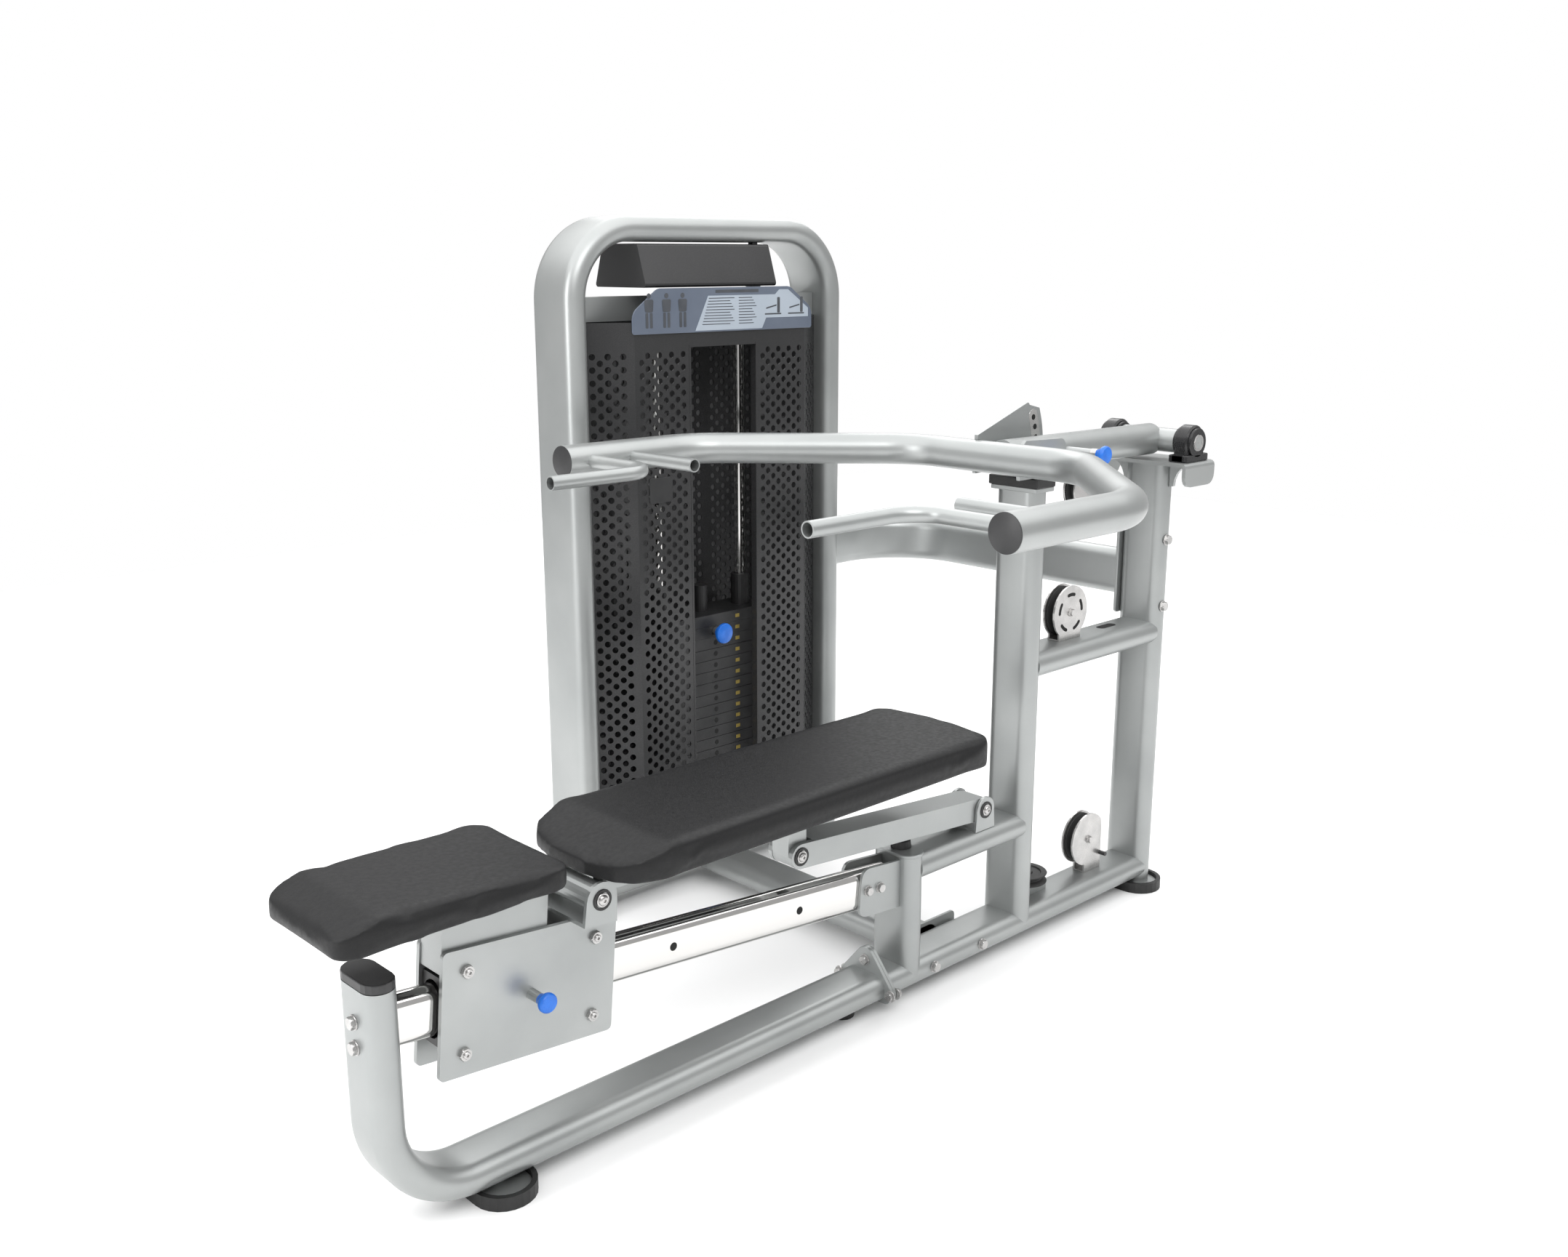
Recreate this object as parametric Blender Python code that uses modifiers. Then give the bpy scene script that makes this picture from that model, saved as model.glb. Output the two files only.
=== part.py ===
"""Multi press: a plate-stack strength machine with a sliding, reclining bench.

Metres, +Z up.  The origin is on the floor under the rear column, which carries the
pivot of the press arm.  +X runs from the seat to the rear end, +Y to the weight tower.
"""
import math

import bmesh
import bpy
from mathutils import Matrix, Vector

# ---- driving dimensions ------------------------------------------------------------
GAP = 0.0003                # left between pieces that touch
OVAL_THIN = 0.050           # frame tube, flat-oval section
OVAL_WIDE = 0.100
ARC_STEPS = 8               # facets in each half round of a flat-oval tube
SHEET = 0.008               # bracket and carriage plates

BASE_Z = 0.050              # height of the floor beam's centre line
POST_X = -1.859             # front post
POST_TOP = 0.400
FRAME_BEND = 0.135          # centre-line radius of the front frame's bend
FLANGE_X = -0.852           # bolted joint in the floor beam
SHORT_POST_X = -0.771
SHORT_POST_TOP = 0.290
MIDDLE_X = -0.4358
MIDDLE_TOP = 0.9362
REAR_TOP = 0.9517
UPPER_Z = 0.262             # beam from the short post to the middle column
MID_Z = 0.588               # beam from the middle column to the rear column
SIDE_Z = 0.707              # curved beam to the tower
CROSS_X = -0.6468           # floor beam to the tower

FOOT_HALF = 0.0508          # half width of the rubber feet
FOOT_STRAIGHT = 0.0266      # half of the straight length of the feet
FOOT_HEIGHT = 0.0225
FRONT_FOOT_X = -1.675

PIVOT_Z = 0.9985            # axis of the press arm, over the rear column
BRIDGE_TOP = 0.960
BEARING_Y = 0.0895          # centre of each bearing block
BEARING_HALF = 0.0215
BEARING_DOME = 0.0355
SHAFT_R = 0.0245
STUB_R = 0.0170

LEVER_R = 0.0325            # press lever tube
LEVER_Z = 1.0035
ARM_R = 0.030               # tube of the press frame
ARM_HINGE_X = -0.5185       # cross tube, also the axis of the start adjustment
ARM_Y = 0.513
ARM_END_X = -1.1406
ARM_CORNER_X = -0.8318
ARM_CROSS_Y = 0.200
GRIP_R = 0.0125
GRIP_Z = 1.003
HUB_HALF = 0.042            # half length of the lever's sleeve on the cross tube
HUB_WALL = 0.0018
SECTOR_Y = 0.050            # middle of the adjuster plates beside the hub
SECTOR_R = 0.204
START_HOLE_R = 0.180        # start position holes from the cross tube's axis
START_HOLES = (0.0, 6.7, 13.5, 19.8)

RAIL_SLOPE = math.radians(5.1)
RAIL_START = Vector((-0.8805, 0.0, 0.2458))     # a point on the rail's centre line
RAIL_THIN = 0.040
RAIL_WIDE = 0.080
CARRIAGE = Vector((-1.618, 0.0, 0.310))         # middle of the carriage's side plates
CARRIAGE_LONG = 0.305
CARRIAGE_TALL = 0.195
CARRIAGE_INNER = 0.0275
BARREL = 0.0285              # how far the pin's barrel stands off the carriage
HINGE = Vector((-1.5107, 0.0, 0.4382))          # back rest on the carriage
KNEE = Vector((-1.0550, 0.0, 0.3657))           # back rest on the link
ANCHOR = Vector((-0.5615, 0.0, 0.3260))         # link on the frame

TOWER_Y = 0.716
TOWER_X = -0.640
TOWER_HALF = 0.3505         # leg centre from the tower's middle
TOWER_THIN = 0.050
TOWER_WIDE = 0.135
TOWER_TOP = 1.424           # centre line of the top beam
TOWER_BEND = 0.140
ROD_X = 0.118               # guide rods from the tower's middle
PLATE_PITCH = 0.0255
STACK_TOP = 0.610
PLATE_COUNT = 18
STACK_HALF_X = 0.150
STACK_Y0 = 0.666
STACK_Y1 = 0.766

FINISHES = {                # colour, roughness, metallic
    "frame_silver": ((0.56, 0.58, 0.58, 1), 0.38, 0.75),
    "chrome": ((0.78, 0.77, 0.75, 1), 0.08, 1.0),
    "zinc": ((0.72, 0.70, 0.68, 1), 0.25, 1.0),
    "pad_black": ((0.035, 0.035, 0.037, 1), 0.75, 0.0),
    "rubber_black": ((0.02, 0.02, 0.02, 1), 0.6, 0.0),
    "plastic_dark": ((0.05, 0.05, 0.05, 1), 0.45, 0.0),
    "shroud_grey": ((0.045, 0.045, 0.048, 1), 0.35, 0.2),
    "knob_blue": ((0.02, 0.16, 0.62, 1), 0.35, 0.0),
    "casting_black": ((0.03, 0.03, 0.032, 1), 0.3, 0.3),
    "plate_iron": ((0.08, 0.08, 0.085, 1), 0.45, 0.5),
    "placard_grey": ((0.30, 0.31, 0.32, 1), 0.4, 0.0),
}

# planes for flat outlines: the matrix takes local x, y and the normal to world axes
ALONG_Z = Matrix.Identity(4)
ALONG_Y = Matrix.Rotation(math.radians(90), 4, "X")                 # x, z drawn; normal -Y
ALONG_X = Matrix(((0, 0, 1, 0), (1, 0, 0, 0), (0, 1, 0, 0), (0, 0, 0, 1)))  # y, z drawn


def empty_scene():
    for old in list(bpy.data.objects):
        bpy.data.objects.remove(old, do_unlink=True)


def new_collection(name):
    collection = bpy.data.collections.new(name)
    bpy.context.scene.collection.children.link(collection)
    return collection


def at(x=0.0, y=0.0, z=0.0):
    return Matrix.Translation((x, y, z))


def add_material(obj, finish):
    colour, roughness, metallic = FINISHES[finish]
    material = bpy.data.materials.new(obj.name + "_" + finish)
    material.use_nodes = True
    shader = material.node_tree.nodes["Principled BSDF"]
    shader.inputs["Base Color"].default_value = colour
    shader.inputs["Roughness"].default_value = roughness
    shader.inputs["Metallic"].default_value = metallic
    obj.data.materials.append(material)


def joint(name, point):
    """An empty on a joint's axis, the parent of the pieces that move there."""
    empty = bpy.data.objects.new(name, None)
    empty.location = point
    empty.empty_display_size = 0.05
    parts.objects.link(empty)
    return empty


def keep(obj, name, finish, moves_with=None):
    """Name a finished sub-part, and hang it on its joint if it moves."""
    obj.name = name
    parts.objects.link(obj)
    add_material(obj, finish)
    if moves_with is not None:
        obj.parent = moves_with
        obj.matrix_parent_inverse = Matrix.Translation(-moves_with.location)
    return obj


def mesh_object(mesh, matrix):
    obj = bpy.data.objects.new("piece", mesh)
    obj.matrix_world = matrix
    return obj


# ---- outlines -----------------------------------------------------------------------
def arc(cx, cy, radius, start, end, steps):
    """Points on an arc, angles in degrees."""
    points = []
    for k in range(steps + 1):
        angle = math.radians(start + (end - start) * k / steps)
        points.append((cx + radius * math.cos(angle), cy + radius * math.sin(angle)))
    return points


def circle(cx, cy, radius, steps=24):
    return arc(cx, cy, radius, 0, 360, steps)[:-1]


def oblong(half_thin, half_wide, wide_axis="y", steps=ARC_STEPS):
    """Flat-oval outline: two half rounds joined by straights."""
    reach = half_wide - half_thin
    if wide_axis == "x":
        return (arc(reach, 0, half_thin, -90, 90, steps)
                + arc(-reach, 0, half_thin, 90, 270, steps))
    return (arc(0, reach, half_thin, 0, 180, steps)
            + arc(0, -reach, half_thin, 180, 360, steps))


def rounded(points, radius, steps=4, closed=True):
    """Fillet the corners of a polyline; radius is one number or one for each corner."""
    vectors = [Vector(p) for p in points]
    count = len(vectors)
    radii = radius if isinstance(radius, (list, tuple)) else [radius] * count
    result = []
    for k, corner in enumerate(vectors):
        is_end = not closed and k in (0, count - 1)
        if is_end or radii[k] == 0:
            result.append(corner)
            continue
        before = (vectors[k - 1] - corner).normalized()
        after = (vectors[(k + 1) % count] - corner).normalized()
        inside = before.angle(after)
        reach = radii[k] / math.tan(inside / 2)
        centre = corner + (before + after).normalized() * radii[k] / math.sin(inside / 2)
        first = corner + before * reach - centre
        last = corner + after * reach - centre
        sweep = math.pi - inside
        for step in range(steps + 1):
            share = step / steps
            side = (first * math.sin((1 - share) * sweep) + last * math.sin(share * sweep))
            result.append(centre + side / math.sin(sweep))
    return [tuple(p) for p in result]


# ---- solids -------------------------------------------------------------------------
def flat_piece(loops, thickness, place):
    """A plate or bar: closed outlines (the first is outer, the rest holes), extruded."""
    curve = bpy.data.curves.new("outline", "CURVE")
    curve.dimensions = "2D"
    curve.fill_mode = "BOTH"
    curve.extrude = thickness / 2
    for loop in loops:
        spline = curve.splines.new("POLY")
        spline.points.add(len(loop) - 1)
        for point, place_2d in zip(spline.points, loop):
            point.co = (place_2d[0], place_2d[1], 0, 1)
        spline.use_cyclic_u = True
    return as_mesh(bpy.data.objects.new("outline", curve), place)


def swept(path, section, place):
    """A tube of the given section along a plane path, drawn in local x and y."""
    profile = bpy.data.curves.new("section", "CURVE")
    profile.dimensions = "2D"
    ring = profile.splines.new("POLY")
    ring.points.add(len(section) - 1)
    for point, place_2d in zip(ring.points, section):
        point.co = (place_2d[0], place_2d[1], 0, 1)
    ring.use_cyclic_u = True
    guide = bpy.data.objects.new("section", profile)
    guide.hide_render = True
    cutters.objects.link(guide)
    curve = line_curve([(x, y, 0) for x, y in path])
    curve.twist_mode = "Z_UP"
    curve.bevel_mode = "OBJECT"
    curve.bevel_object = guide
    return as_mesh(bpy.data.objects.new("sweep", curve), place)


def line_curve(path):
    curve = bpy.data.curves.new("line", "CURVE")
    curve.dimensions = "3D"
    curve.use_fill_caps = True
    spline = curve.splines.new("POLY")
    spline.points.add(len(path) - 1)
    for point, place_3d in zip(spline.points, path):
        point.co = (*place_3d, 1)
    return curve


def round_tube(path, radius, resolution=3):
    """A round bar or tube with flat ends along a 3D path."""
    curve = line_curve(path)
    curve.bevel_depth = radius
    curve.bevel_resolution = resolution
    return as_mesh(bpy.data.objects.new("tube", curve), Matrix.Identity(4))


def as_mesh(curve_object, place):
    """Turn a curve into a welded mesh, so that it can be cut and joined."""
    scene_objects = bpy.context.scene.collection.objects
    scene_objects.link(curve_object)
    graph = bpy.context.evaluated_depsgraph_get()
    mesh = bpy.data.meshes.new_from_object(curve_object.evaluated_get(graph))
    bpy.data.objects.remove(curve_object, do_unlink=True)
    shape = bmesh.new()
    shape.from_mesh(mesh)
    bmesh.ops.remove_doubles(shape, verts=shape.verts, dist=0.00002)
    bmesh.ops.recalc_face_normals(shape, faces=shape.faces)
    shape.to_mesh(mesh)
    shape.free()
    return mesh_object(mesh, place)


def block(low, high, bevel=0.0):
    """A box between two corners, with rounded edges where a bevel is given."""
    size = Vector(high) - Vector(low)
    middle = (Vector(high) + Vector(low)) / 2
    shape = bmesh.new()
    bmesh.ops.create_cube(shape, size=1.0)
    bmesh.ops.scale(shape, vec=size, verts=shape.verts)
    mesh = bpy.data.meshes.new("block")
    shape.to_mesh(mesh)
    shape.free()
    obj = mesh_object(mesh, Matrix.Translation(middle))
    if bevel:
        soften = obj.modifiers.new("soften", "BEVEL")
        soften.width = bevel
        soften.segments = 2
    return obj


def rod(start, end, radius, sides=24):
    """A cylinder between two points."""
    start = Vector(start)
    along = Vector(end) - start
    shape = bmesh.new()
    bmesh.ops.create_cone(shape, cap_ends=True, segments=sides, radius1=radius,
                          radius2=radius, depth=along.length)
    mesh = bpy.data.meshes.new("rod")
    shape.to_mesh(mesh)
    shape.free()
    turn = along.to_track_quat("Z", "Y").to_matrix().to_4x4()
    return mesh_object(mesh, Matrix.Translation(start + along / 2) @ turn)


def turned(profile, place, steps=28):
    """A turned piece: (radius, height) points from top to bottom on the outer side."""
    shape = bmesh.new()
    verts = [shape.verts.new((radius, 0, height)) for radius, height in profile]
    for first, second in zip(verts, verts[1:]):
        shape.edges.new((first, second))
    mesh = bpy.data.meshes.new("profile")
    shape.to_mesh(mesh)
    shape.free()
    obj = mesh_object(mesh, place)
    screw = obj.modifiers.new("turn", "SCREW")
    screw.steps = steps
    screw.render_steps = steps
    screw.use_merge_vertices = True
    screw.merge_threshold = 0.00005
    return obj


def combine(target, other, operation):
    """Boolean with another solid, which stays as a hidden guide."""
    other.hide_render = True
    other.display_type = "WIRE"
    other.name = "guide_" + operation.lower()
    cutters.objects.link(other)
    step = target.modifiers.new(operation.lower(), "BOOLEAN")
    step.operation = operation
    step.object = other
    step.solver = "EXACT"
    return target


def join(target, *others):
    for other in others:
        combine(target, other, "UNION")
    return target


def cut(target, *others):
    for other in others:
        combine(target, other, "DIFFERENCE")
    return target


# ---- frame tubes --------------------------------------------------------------------
def oval(grow=0.0):
    return oblong(OVAL_THIN / 2 + grow, OVAL_WIDE / 2 + grow)


def oval_along_x(x0, x1, z, grow=0.0):
    """Flat-oval bar along X, wide side along Y."""
    section = [(y, height) for height, y in oval(grow)]
    return flat_piece([section], x1 - x0, at((x0 + x1) / 2, 0, z) @ ALONG_X)


def oval_along_z(x, z0, z1, grow=0.0):
    """Upright flat-oval bar, wide side along Y."""
    return flat_piece([oval(grow)], z1 - z0, at(x, 0, (z0 + z1) / 2))


def build_floor_frame():
    path = rounded([(POST_X, POST_TOP), (POST_X, BASE_Z), (FLANGE_X - 0.003, BASE_Z)],
                   FRAME_BEND, steps=10, closed=False)
    front = swept(path, oval(), ALONG_Y)
    join(front, flange_plate(FLANGE_X - 0.0035),
         rod((FRONT_FOOT_X, 0, 0.0115), (FRONT_FOOT_X, 0, 0.040), 0.021),
         foot_plate(FRONT_FOOT_X))
    keep(front, "front_frame", "frame_silver")
    cap = flat_piece([oval()], 0.0145, at(POST_X, 0, POST_TOP + GAP + 0.00725))
    soften = cap.modifiers.new("soften", "BEVEL")
    soften.width = 0.003
    soften.segments = 2
    soften.limit_method = "ANGLE"
    soften.angle_limit = math.radians(60)
    keep(cap, "post_cap", "plastic_dark")

    rear = oval_along_x(FLANGE_X + 0.003, -0.002, BASE_Z)
    cut(rear, oval_along_z(0, -0.05, 0.15, GAP))
    pulley_seat = block((-0.377, 0.000, 0.060), (-0.305, 0.044, 0.0985))
    join(rear, flange_plate(FLANGE_X + 0.0035), pulley_seat)
    keep(rear, "rear_base", "frame_silver")

    keep(foot_ring(FRONT_FOOT_X), "front_foot_rubber", "rubber_black")
    keep(foot_ring(0.0), "rear_foot_rubber", "rubber_black")
    middle_foot = rod((-0.910, 0.012, 0), (-0.910, 0.012, 0.0245), 0.025)
    keep(middle_foot, "middle_foot", "rubber_black")


def flange_plate(x):
    """Three-cornered plate across the floor beam."""
    corners = [(-0.093, 0.024), (0.093, 0.024), (0.0, 0.134)]
    return flat_piece([rounded(corners, 0.022, steps=5)], 0.0066, at(x) @ ALONG_X)


def foot_plate(x):
    outline = oblong(FOOT_HALF - 0.009, FOOT_HALF + FOOT_STRAIGHT - 0.009)
    return flat_piece([outline], 0.004, at(x, 0, 0.0125))


def foot_ring(x):
    """Oblong rubber foot, hollowed from the top for its metal plate."""
    ring = flat_piece([oblong(FOOT_HALF, FOOT_HALF + FOOT_STRAIGHT, steps=12)],
                      FOOT_HEIGHT, at(x, 0, FOOT_HEIGHT / 2))
    hollow = oblong(FOOT_HALF - 0.0085, FOOT_HALF + FOOT_STRAIGHT - 0.0085, steps=12)
    return cut(ring, flat_piece([hollow], 0.03, at(x, 0, 0.0100 + 0.015)))


def build_columns():
    short_post = oval_along_z(SHORT_POST_X, 0.0505, SHORT_POST_TOP)
    cut(short_post, oval_along_x(-0.9, -0.6, BASE_Z, GAP))
    join(short_post, flat_piece([oblong(0.0275, 0.0525)], 0.006,
                                at(SHORT_POST_X, 0, SHORT_POST_TOP + 0.0029)))
    keep(short_post, "short_post", "frame_silver")
    keep(turned([(0, 0.020), (0.012, 0.019), (0.018, 0.014), (0.0195, 0.0), (0, 0)],
                at(SHORT_POST_X + 0.006, 0, SHORT_POST_TOP + 0.0062), 20),
         "bump_stop", "rubber_black")

    middle = oval_along_z(MIDDLE_X, 0.0505, MIDDLE_TOP)
    cut(middle, oval_along_x(-0.6, -0.3, BASE_Z, GAP))
    stop_plate = block((MIDDLE_X - 0.029, -0.055, MIDDLE_TOP - 0.0005),
                       (MIDDLE_X + 0.029, 0.055, MIDDLE_TOP + 0.008))
    join(middle, stop_plate)
    keep(middle, "middle_column", "frame_silver")
    keep(block((-0.467, -0.058, MIDDLE_TOP + 0.0083), (-0.4085, 0.058, 0.9629), 0.002),
         "arm_stop_block", "rubber_black")

    rear = oval_along_z(0, 0.0125, REAR_TOP)
    join(rear, foot_plate(0.0))
    keep(rear, "rear_column", "frame_silver")

    upper = oval_along_x(SHORT_POST_X, MIDDLE_X, UPPER_Z)
    cut(upper, oval_along_z(SHORT_POST_X, 0.2, 0.35, GAP), oval_along_z(MIDDLE_X, 0.2, 0.35, GAP))
    join(upper, *link_clevis())
    keep(upper, "upper_tube", "frame_silver")
    mid = oval_along_x(MIDDLE_X, 0, MID_Z)
    cut(mid, oval_along_z(MIDDLE_X, 0.5, 0.7, GAP), oval_along_z(0, 0.5, 0.7, GAP))
    cable_slot = oblong(0.010, 0.028, "x", 5)
    cut(mid, flat_piece([cable_slot], 0.2, at(-0.125, 0.005, MID_Z)))
    keep(mid, "mid_tube", "frame_silver")


def link_clevis():
    """Cheeks, foot and pin that hold the link on the upper tube."""
    seat = UPPER_Z + OVAL_THIN / 2 - 0.002
    half = 0.0285
    cheek = [(-half, seat), (half, seat)] + arc(0, ANCHOR.z, 0.026, -10, 190, 10)
    cheeks = [flat_piece([cheek], 0.0066, at(ANCHOR.x, side * 0.0339, 0) @ ALONG_Y)
              for side in (-1, 1)]
    foot = block((ANCHOR.x - half, -0.034, seat), (ANCHOR.x + half, 0.034, seat + 0.007))
    pin = rod(ANCHOR + Vector((0, -0.036, 0)), ANCHOR + Vector((0, 0.036, 0)), 0.0080, 16)
    return [foot, *cheeks, pin]


def build_bridge():
    """Channel on the rear column that carries the two bearing blocks."""
    top = BRIDGE_TOP
    under = REAR_TOP + GAP
    outer = 0.119
    leg = 0.911
    thick = top - under
    corners = [(-outer, top), (-outer, leg), (-outer + thick, leg), (-outer + thick, under),
               (outer - thick, under), (outer - thick, leg), (outer, leg), (outer, top)]
    radii = [0.010, 0, 0, 0.003, 0.003, 0, 0, 0.010]
    bridge = flat_piece([rounded(corners, radii, 3)], 0.110, ALONG_X)
    for side in (-1, 1):
        bite = rounded([(-0.08, 0.90), (0.08, 0.90), (0.08, 0.97), (0.055, 0.97),
                        (0.055, leg), (-0.055, leg), (-0.055, 0.97), (-0.08, 0.97)],
                       [0, 0, 0, 0, 0.022, 0.022, 0, 0], 4)
        cut(bridge, flat_piece([bite], 0.06, at(0, side * 0.140, 0) @ ALONG_Y))
        web_arc = arc(side * 0.112, 0.904, 0.052, 90, 90 + side * 90, 6)
        web = [(side * 0.0503, 0.957), (side * 0.0503, 0.902)] + web_arc[::-1] + [(side * 0.112, 0.957)]
        join(bridge, flat_piece([web], SHEET, ALONG_X))
    keep(bridge, "bearing_bridge", "frame_silver")


def bearing_block(side, name):
    """Pillow block: a foot and a dome around the shaft's stub."""
    foot = BRIDGE_TOP + GAP
    dome = arc(0, PIVOT_Z, BEARING_DOME, -30, 210, 12)
    outline = [(-0.043, foot), (0.043, foot), (0.043, foot + 0.016), (0.032, foot + 0.017)]
    outline += dome + [(-0.032, foot + 0.017), (-0.043, foot + 0.016)]
    bore = circle(0, PIVOT_Z, STUB_R + 0.0004)
    body = flat_piece([outline, bore], 2 * BEARING_HALF, at(0, side * BEARING_Y, 0) @ ALONG_Y)
    keep(body, name, "casting_black")


def build_side_frame():
    """Beams to the weight tower: one on the floor and a curved one higher up."""
    start = OVAL_WIDE / 2 + GAP
    end = TOWER_Y - OVAL_WIDE / 2 - 0.0005
    section = oblong(OVAL_THIN / 2, OVAL_WIDE / 2, "x")
    cross = flat_piece([[(x, z) for x, z in section]], end - start + 0.030,
                       at(CROSS_X, (start + end) / 2 + 0.015, BASE_Z) @ ALONG_Y)
    cut(cross, oval_tower_base(GAP))
    ears = rounded([(-0.105, -0.020), (0.105, -0.020), (0.105, 0.033), (-0.105, 0.033)], 0.010, 3)
    join(cross, flat_piece([ears], 0.006, at(CROSS_X, start + 0.003, BASE_Z) @ ALONG_Y))
    keep(cross, "cross_tube", "frame_silver")

    tower_side = TOWER_X + TOWER_HALF + TOWER_THIN / 2 + GAP
    path = rounded([(0, start + 0.003), (0, TOWER_Y), (tower_side, TOWER_Y)], 0.180,
                   steps=10, closed=False)
    side = swept(path, oval(), at(0, 0, SIDE_Z))
    plate = rounded([(-0.026, -0.105), (0.026, -0.105), (0.026, 0.105), (-0.026, 0.105)], 0.008, 3)
    join(side, flat_piece([plate], 0.006, at(0, start + 0.003, SIDE_Z + 0.017) @ ALONG_Y))
    keep(side, "side_tube", "frame_silver")


def oval_tower_base(grow=0.0):
    section = [(y, z) for z, y in oval(grow)]
    return flat_piece([section], 2 * TOWER_HALF, at(TOWER_X, TOWER_Y, BASE_Z) @ ALONG_X)


def tower_leg_cutter(side):
    outline = oblong(TOWER_THIN / 2 + GAP, TOWER_WIDE / 2 + GAP)
    return flat_piece([outline], 1.5, at(TOWER_X + side * TOWER_HALF, TOWER_Y, 0.75))


# ---- tower --------------------------------------------------------------------------
def build_tower():
    left = TOWER_X - TOWER_HALF
    right = TOWER_X + TOWER_HALF
    path = rounded([(left, 0.0215), (left, TOWER_TOP), (right, TOWER_TOP), (right, 0.0215)],
                   TOWER_BEND, steps=10, closed=False)
    frame = swept(path, oblong(TOWER_THIN / 2, TOWER_WIDE / 2), at(0, TOWER_Y, 0) @ ALONG_Y)
    keep(frame, "tower_frame", "frame_silver")
    base = oval_tower_base()
    cut(base, tower_leg_cutter(-1), tower_leg_cutter(1))
    keep(base, "tower_base", "frame_silver")
    bar_half = TOWER_HALF - TOWER_THIN / 2 - 3 * GAP
    bar = block((TOWER_X - bar_half, 0.696, 1.244), (TOWER_X + bar_half, 0.736, 1.292))
    for side in (-1, 1):
        rod_x = TOWER_X + side * ROD_X
        cut(bar, rod((rod_x, TOWER_Y, 1.2), (rod_x, TOWER_Y, 1.27), 0.0118))
    keep(bar, "tower_crossbar", "frame_silver")
    for side, name in ((-1, "tower_foot_left"), (1, "tower_foot_right")):
        shoe = flat_piece([oblong(0.031, TOWER_WIDE / 2 + 0.006)], 0.0212,
                          at(TOWER_X + side * TOWER_HALF, TOWER_Y, 0.0106))
        keep(shoe, name, "rubber_black")
    for side, name in ((-1, "guide_rod_left"), (1, "guide_rod_right")):
        x = TOWER_X + side * ROD_X
        keep(rod((x, TOWER_Y, 0.0753), (x, TOWER_Y, 1.2697), 0.0115, 20), name, "chrome")


SHROUD_BACK_Y = 0.690       # where the shroud meets the legs' noses
SHROUD_FRONT_Y = 0.630
SHROUD_BOTTOM = 0.100
SHROUD_TOP = 1.243
SHROUD_SHEET = 0.003
WINDOW_HALF = 0.093
WINDOW_TOP = 1.196


def shroud(facing, mid_y, front_y, name):
    """Folded sheet on one face of the tower; the near one has the window."""
    outer_x, bend_x = 0.3235, 0.235
    line = [(-outer_x, mid_y), (-bend_x, front_y), (bend_x, front_y), (outer_x, mid_y)]
    step = -facing * SHROUD_SHEET
    offset = [(-outer_x + 0.0015, mid_y + step), (-bend_x + 0.0012, front_y + step),
              (bend_x - 0.0012, front_y + step), (outer_x - 0.0015, mid_y + step)]
    outline = line + offset[::-1]
    height = SHROUD_TOP - SHROUD_BOTTOM
    sheet = flat_piece([outline], height, at(TOWER_X, 0, SHROUD_BOTTOM + height / 2))
    if facing < 0:
        window = block((TOWER_X - WINDOW_HALF, front_y - 0.03, SHROUD_BOTTOM - 0.05),
                       (TOWER_X + WINDOW_HALF, front_y + 0.03, WINDOW_TOP))
        cut(sheet, window)
    keep(sheet, name, "shroud_grey")


def build_covers():
    shroud(-1, SHROUD_BACK_Y, SHROUD_FRONT_Y, "front_shroud")
    shroud(1, 2 * TOWER_Y - SHROUD_BACK_Y, 2 * TOWER_Y - SHROUD_FRONT_Y, "back_shroud")
    side = [(0.633, 1.3095), (0.660, 1.395), (0.772, 1.395), (0.799, 1.3095)]
    hood = flat_piece([rounded(side, 0.006, 3)], 0.355, at(TOWER_X - 0.0225, 0, 0) @ ALONG_X)
    keep(hood, "hood", "frame_silver")
    half = 0.247
    shoulder = 0.182
    outline = [(-half, 1.2195), (half, 1.2195), (half, 1.262), (shoulder, 1.3085),
               (-shoulder, 1.3085), (-half, 1.262)]
    board = flat_piece([rounded(outline, [0.008, 0.008, 0.03, 0.03, 0.03, 0.03], 4)], 0.003,
                       at(TOWER_X + 0.005, 0.6275, 0) @ ALONG_Y)
    keep(board, "placard", "placard_grey")


def weight_plates(top, count):
    """A run of weight plates with bores for the rods and the selector tube."""
    bottom = top - count * PLATE_PITCH + GAP
    outline = rounded([(-STACK_HALF_X, STACK_Y0), (STACK_HALF_X, STACK_Y0),
                       (STACK_HALF_X, STACK_Y1), (-STACK_HALF_X, STACK_Y1)], 0.006, 2)
    holes = [circle(x, TOWER_Y, 0.0135, 16) for x in (-ROD_X, 0, ROD_X)]
    return flat_piece([outline, *holes], top - bottom, at(TOWER_X, 0, (top + bottom) / 2))


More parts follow.
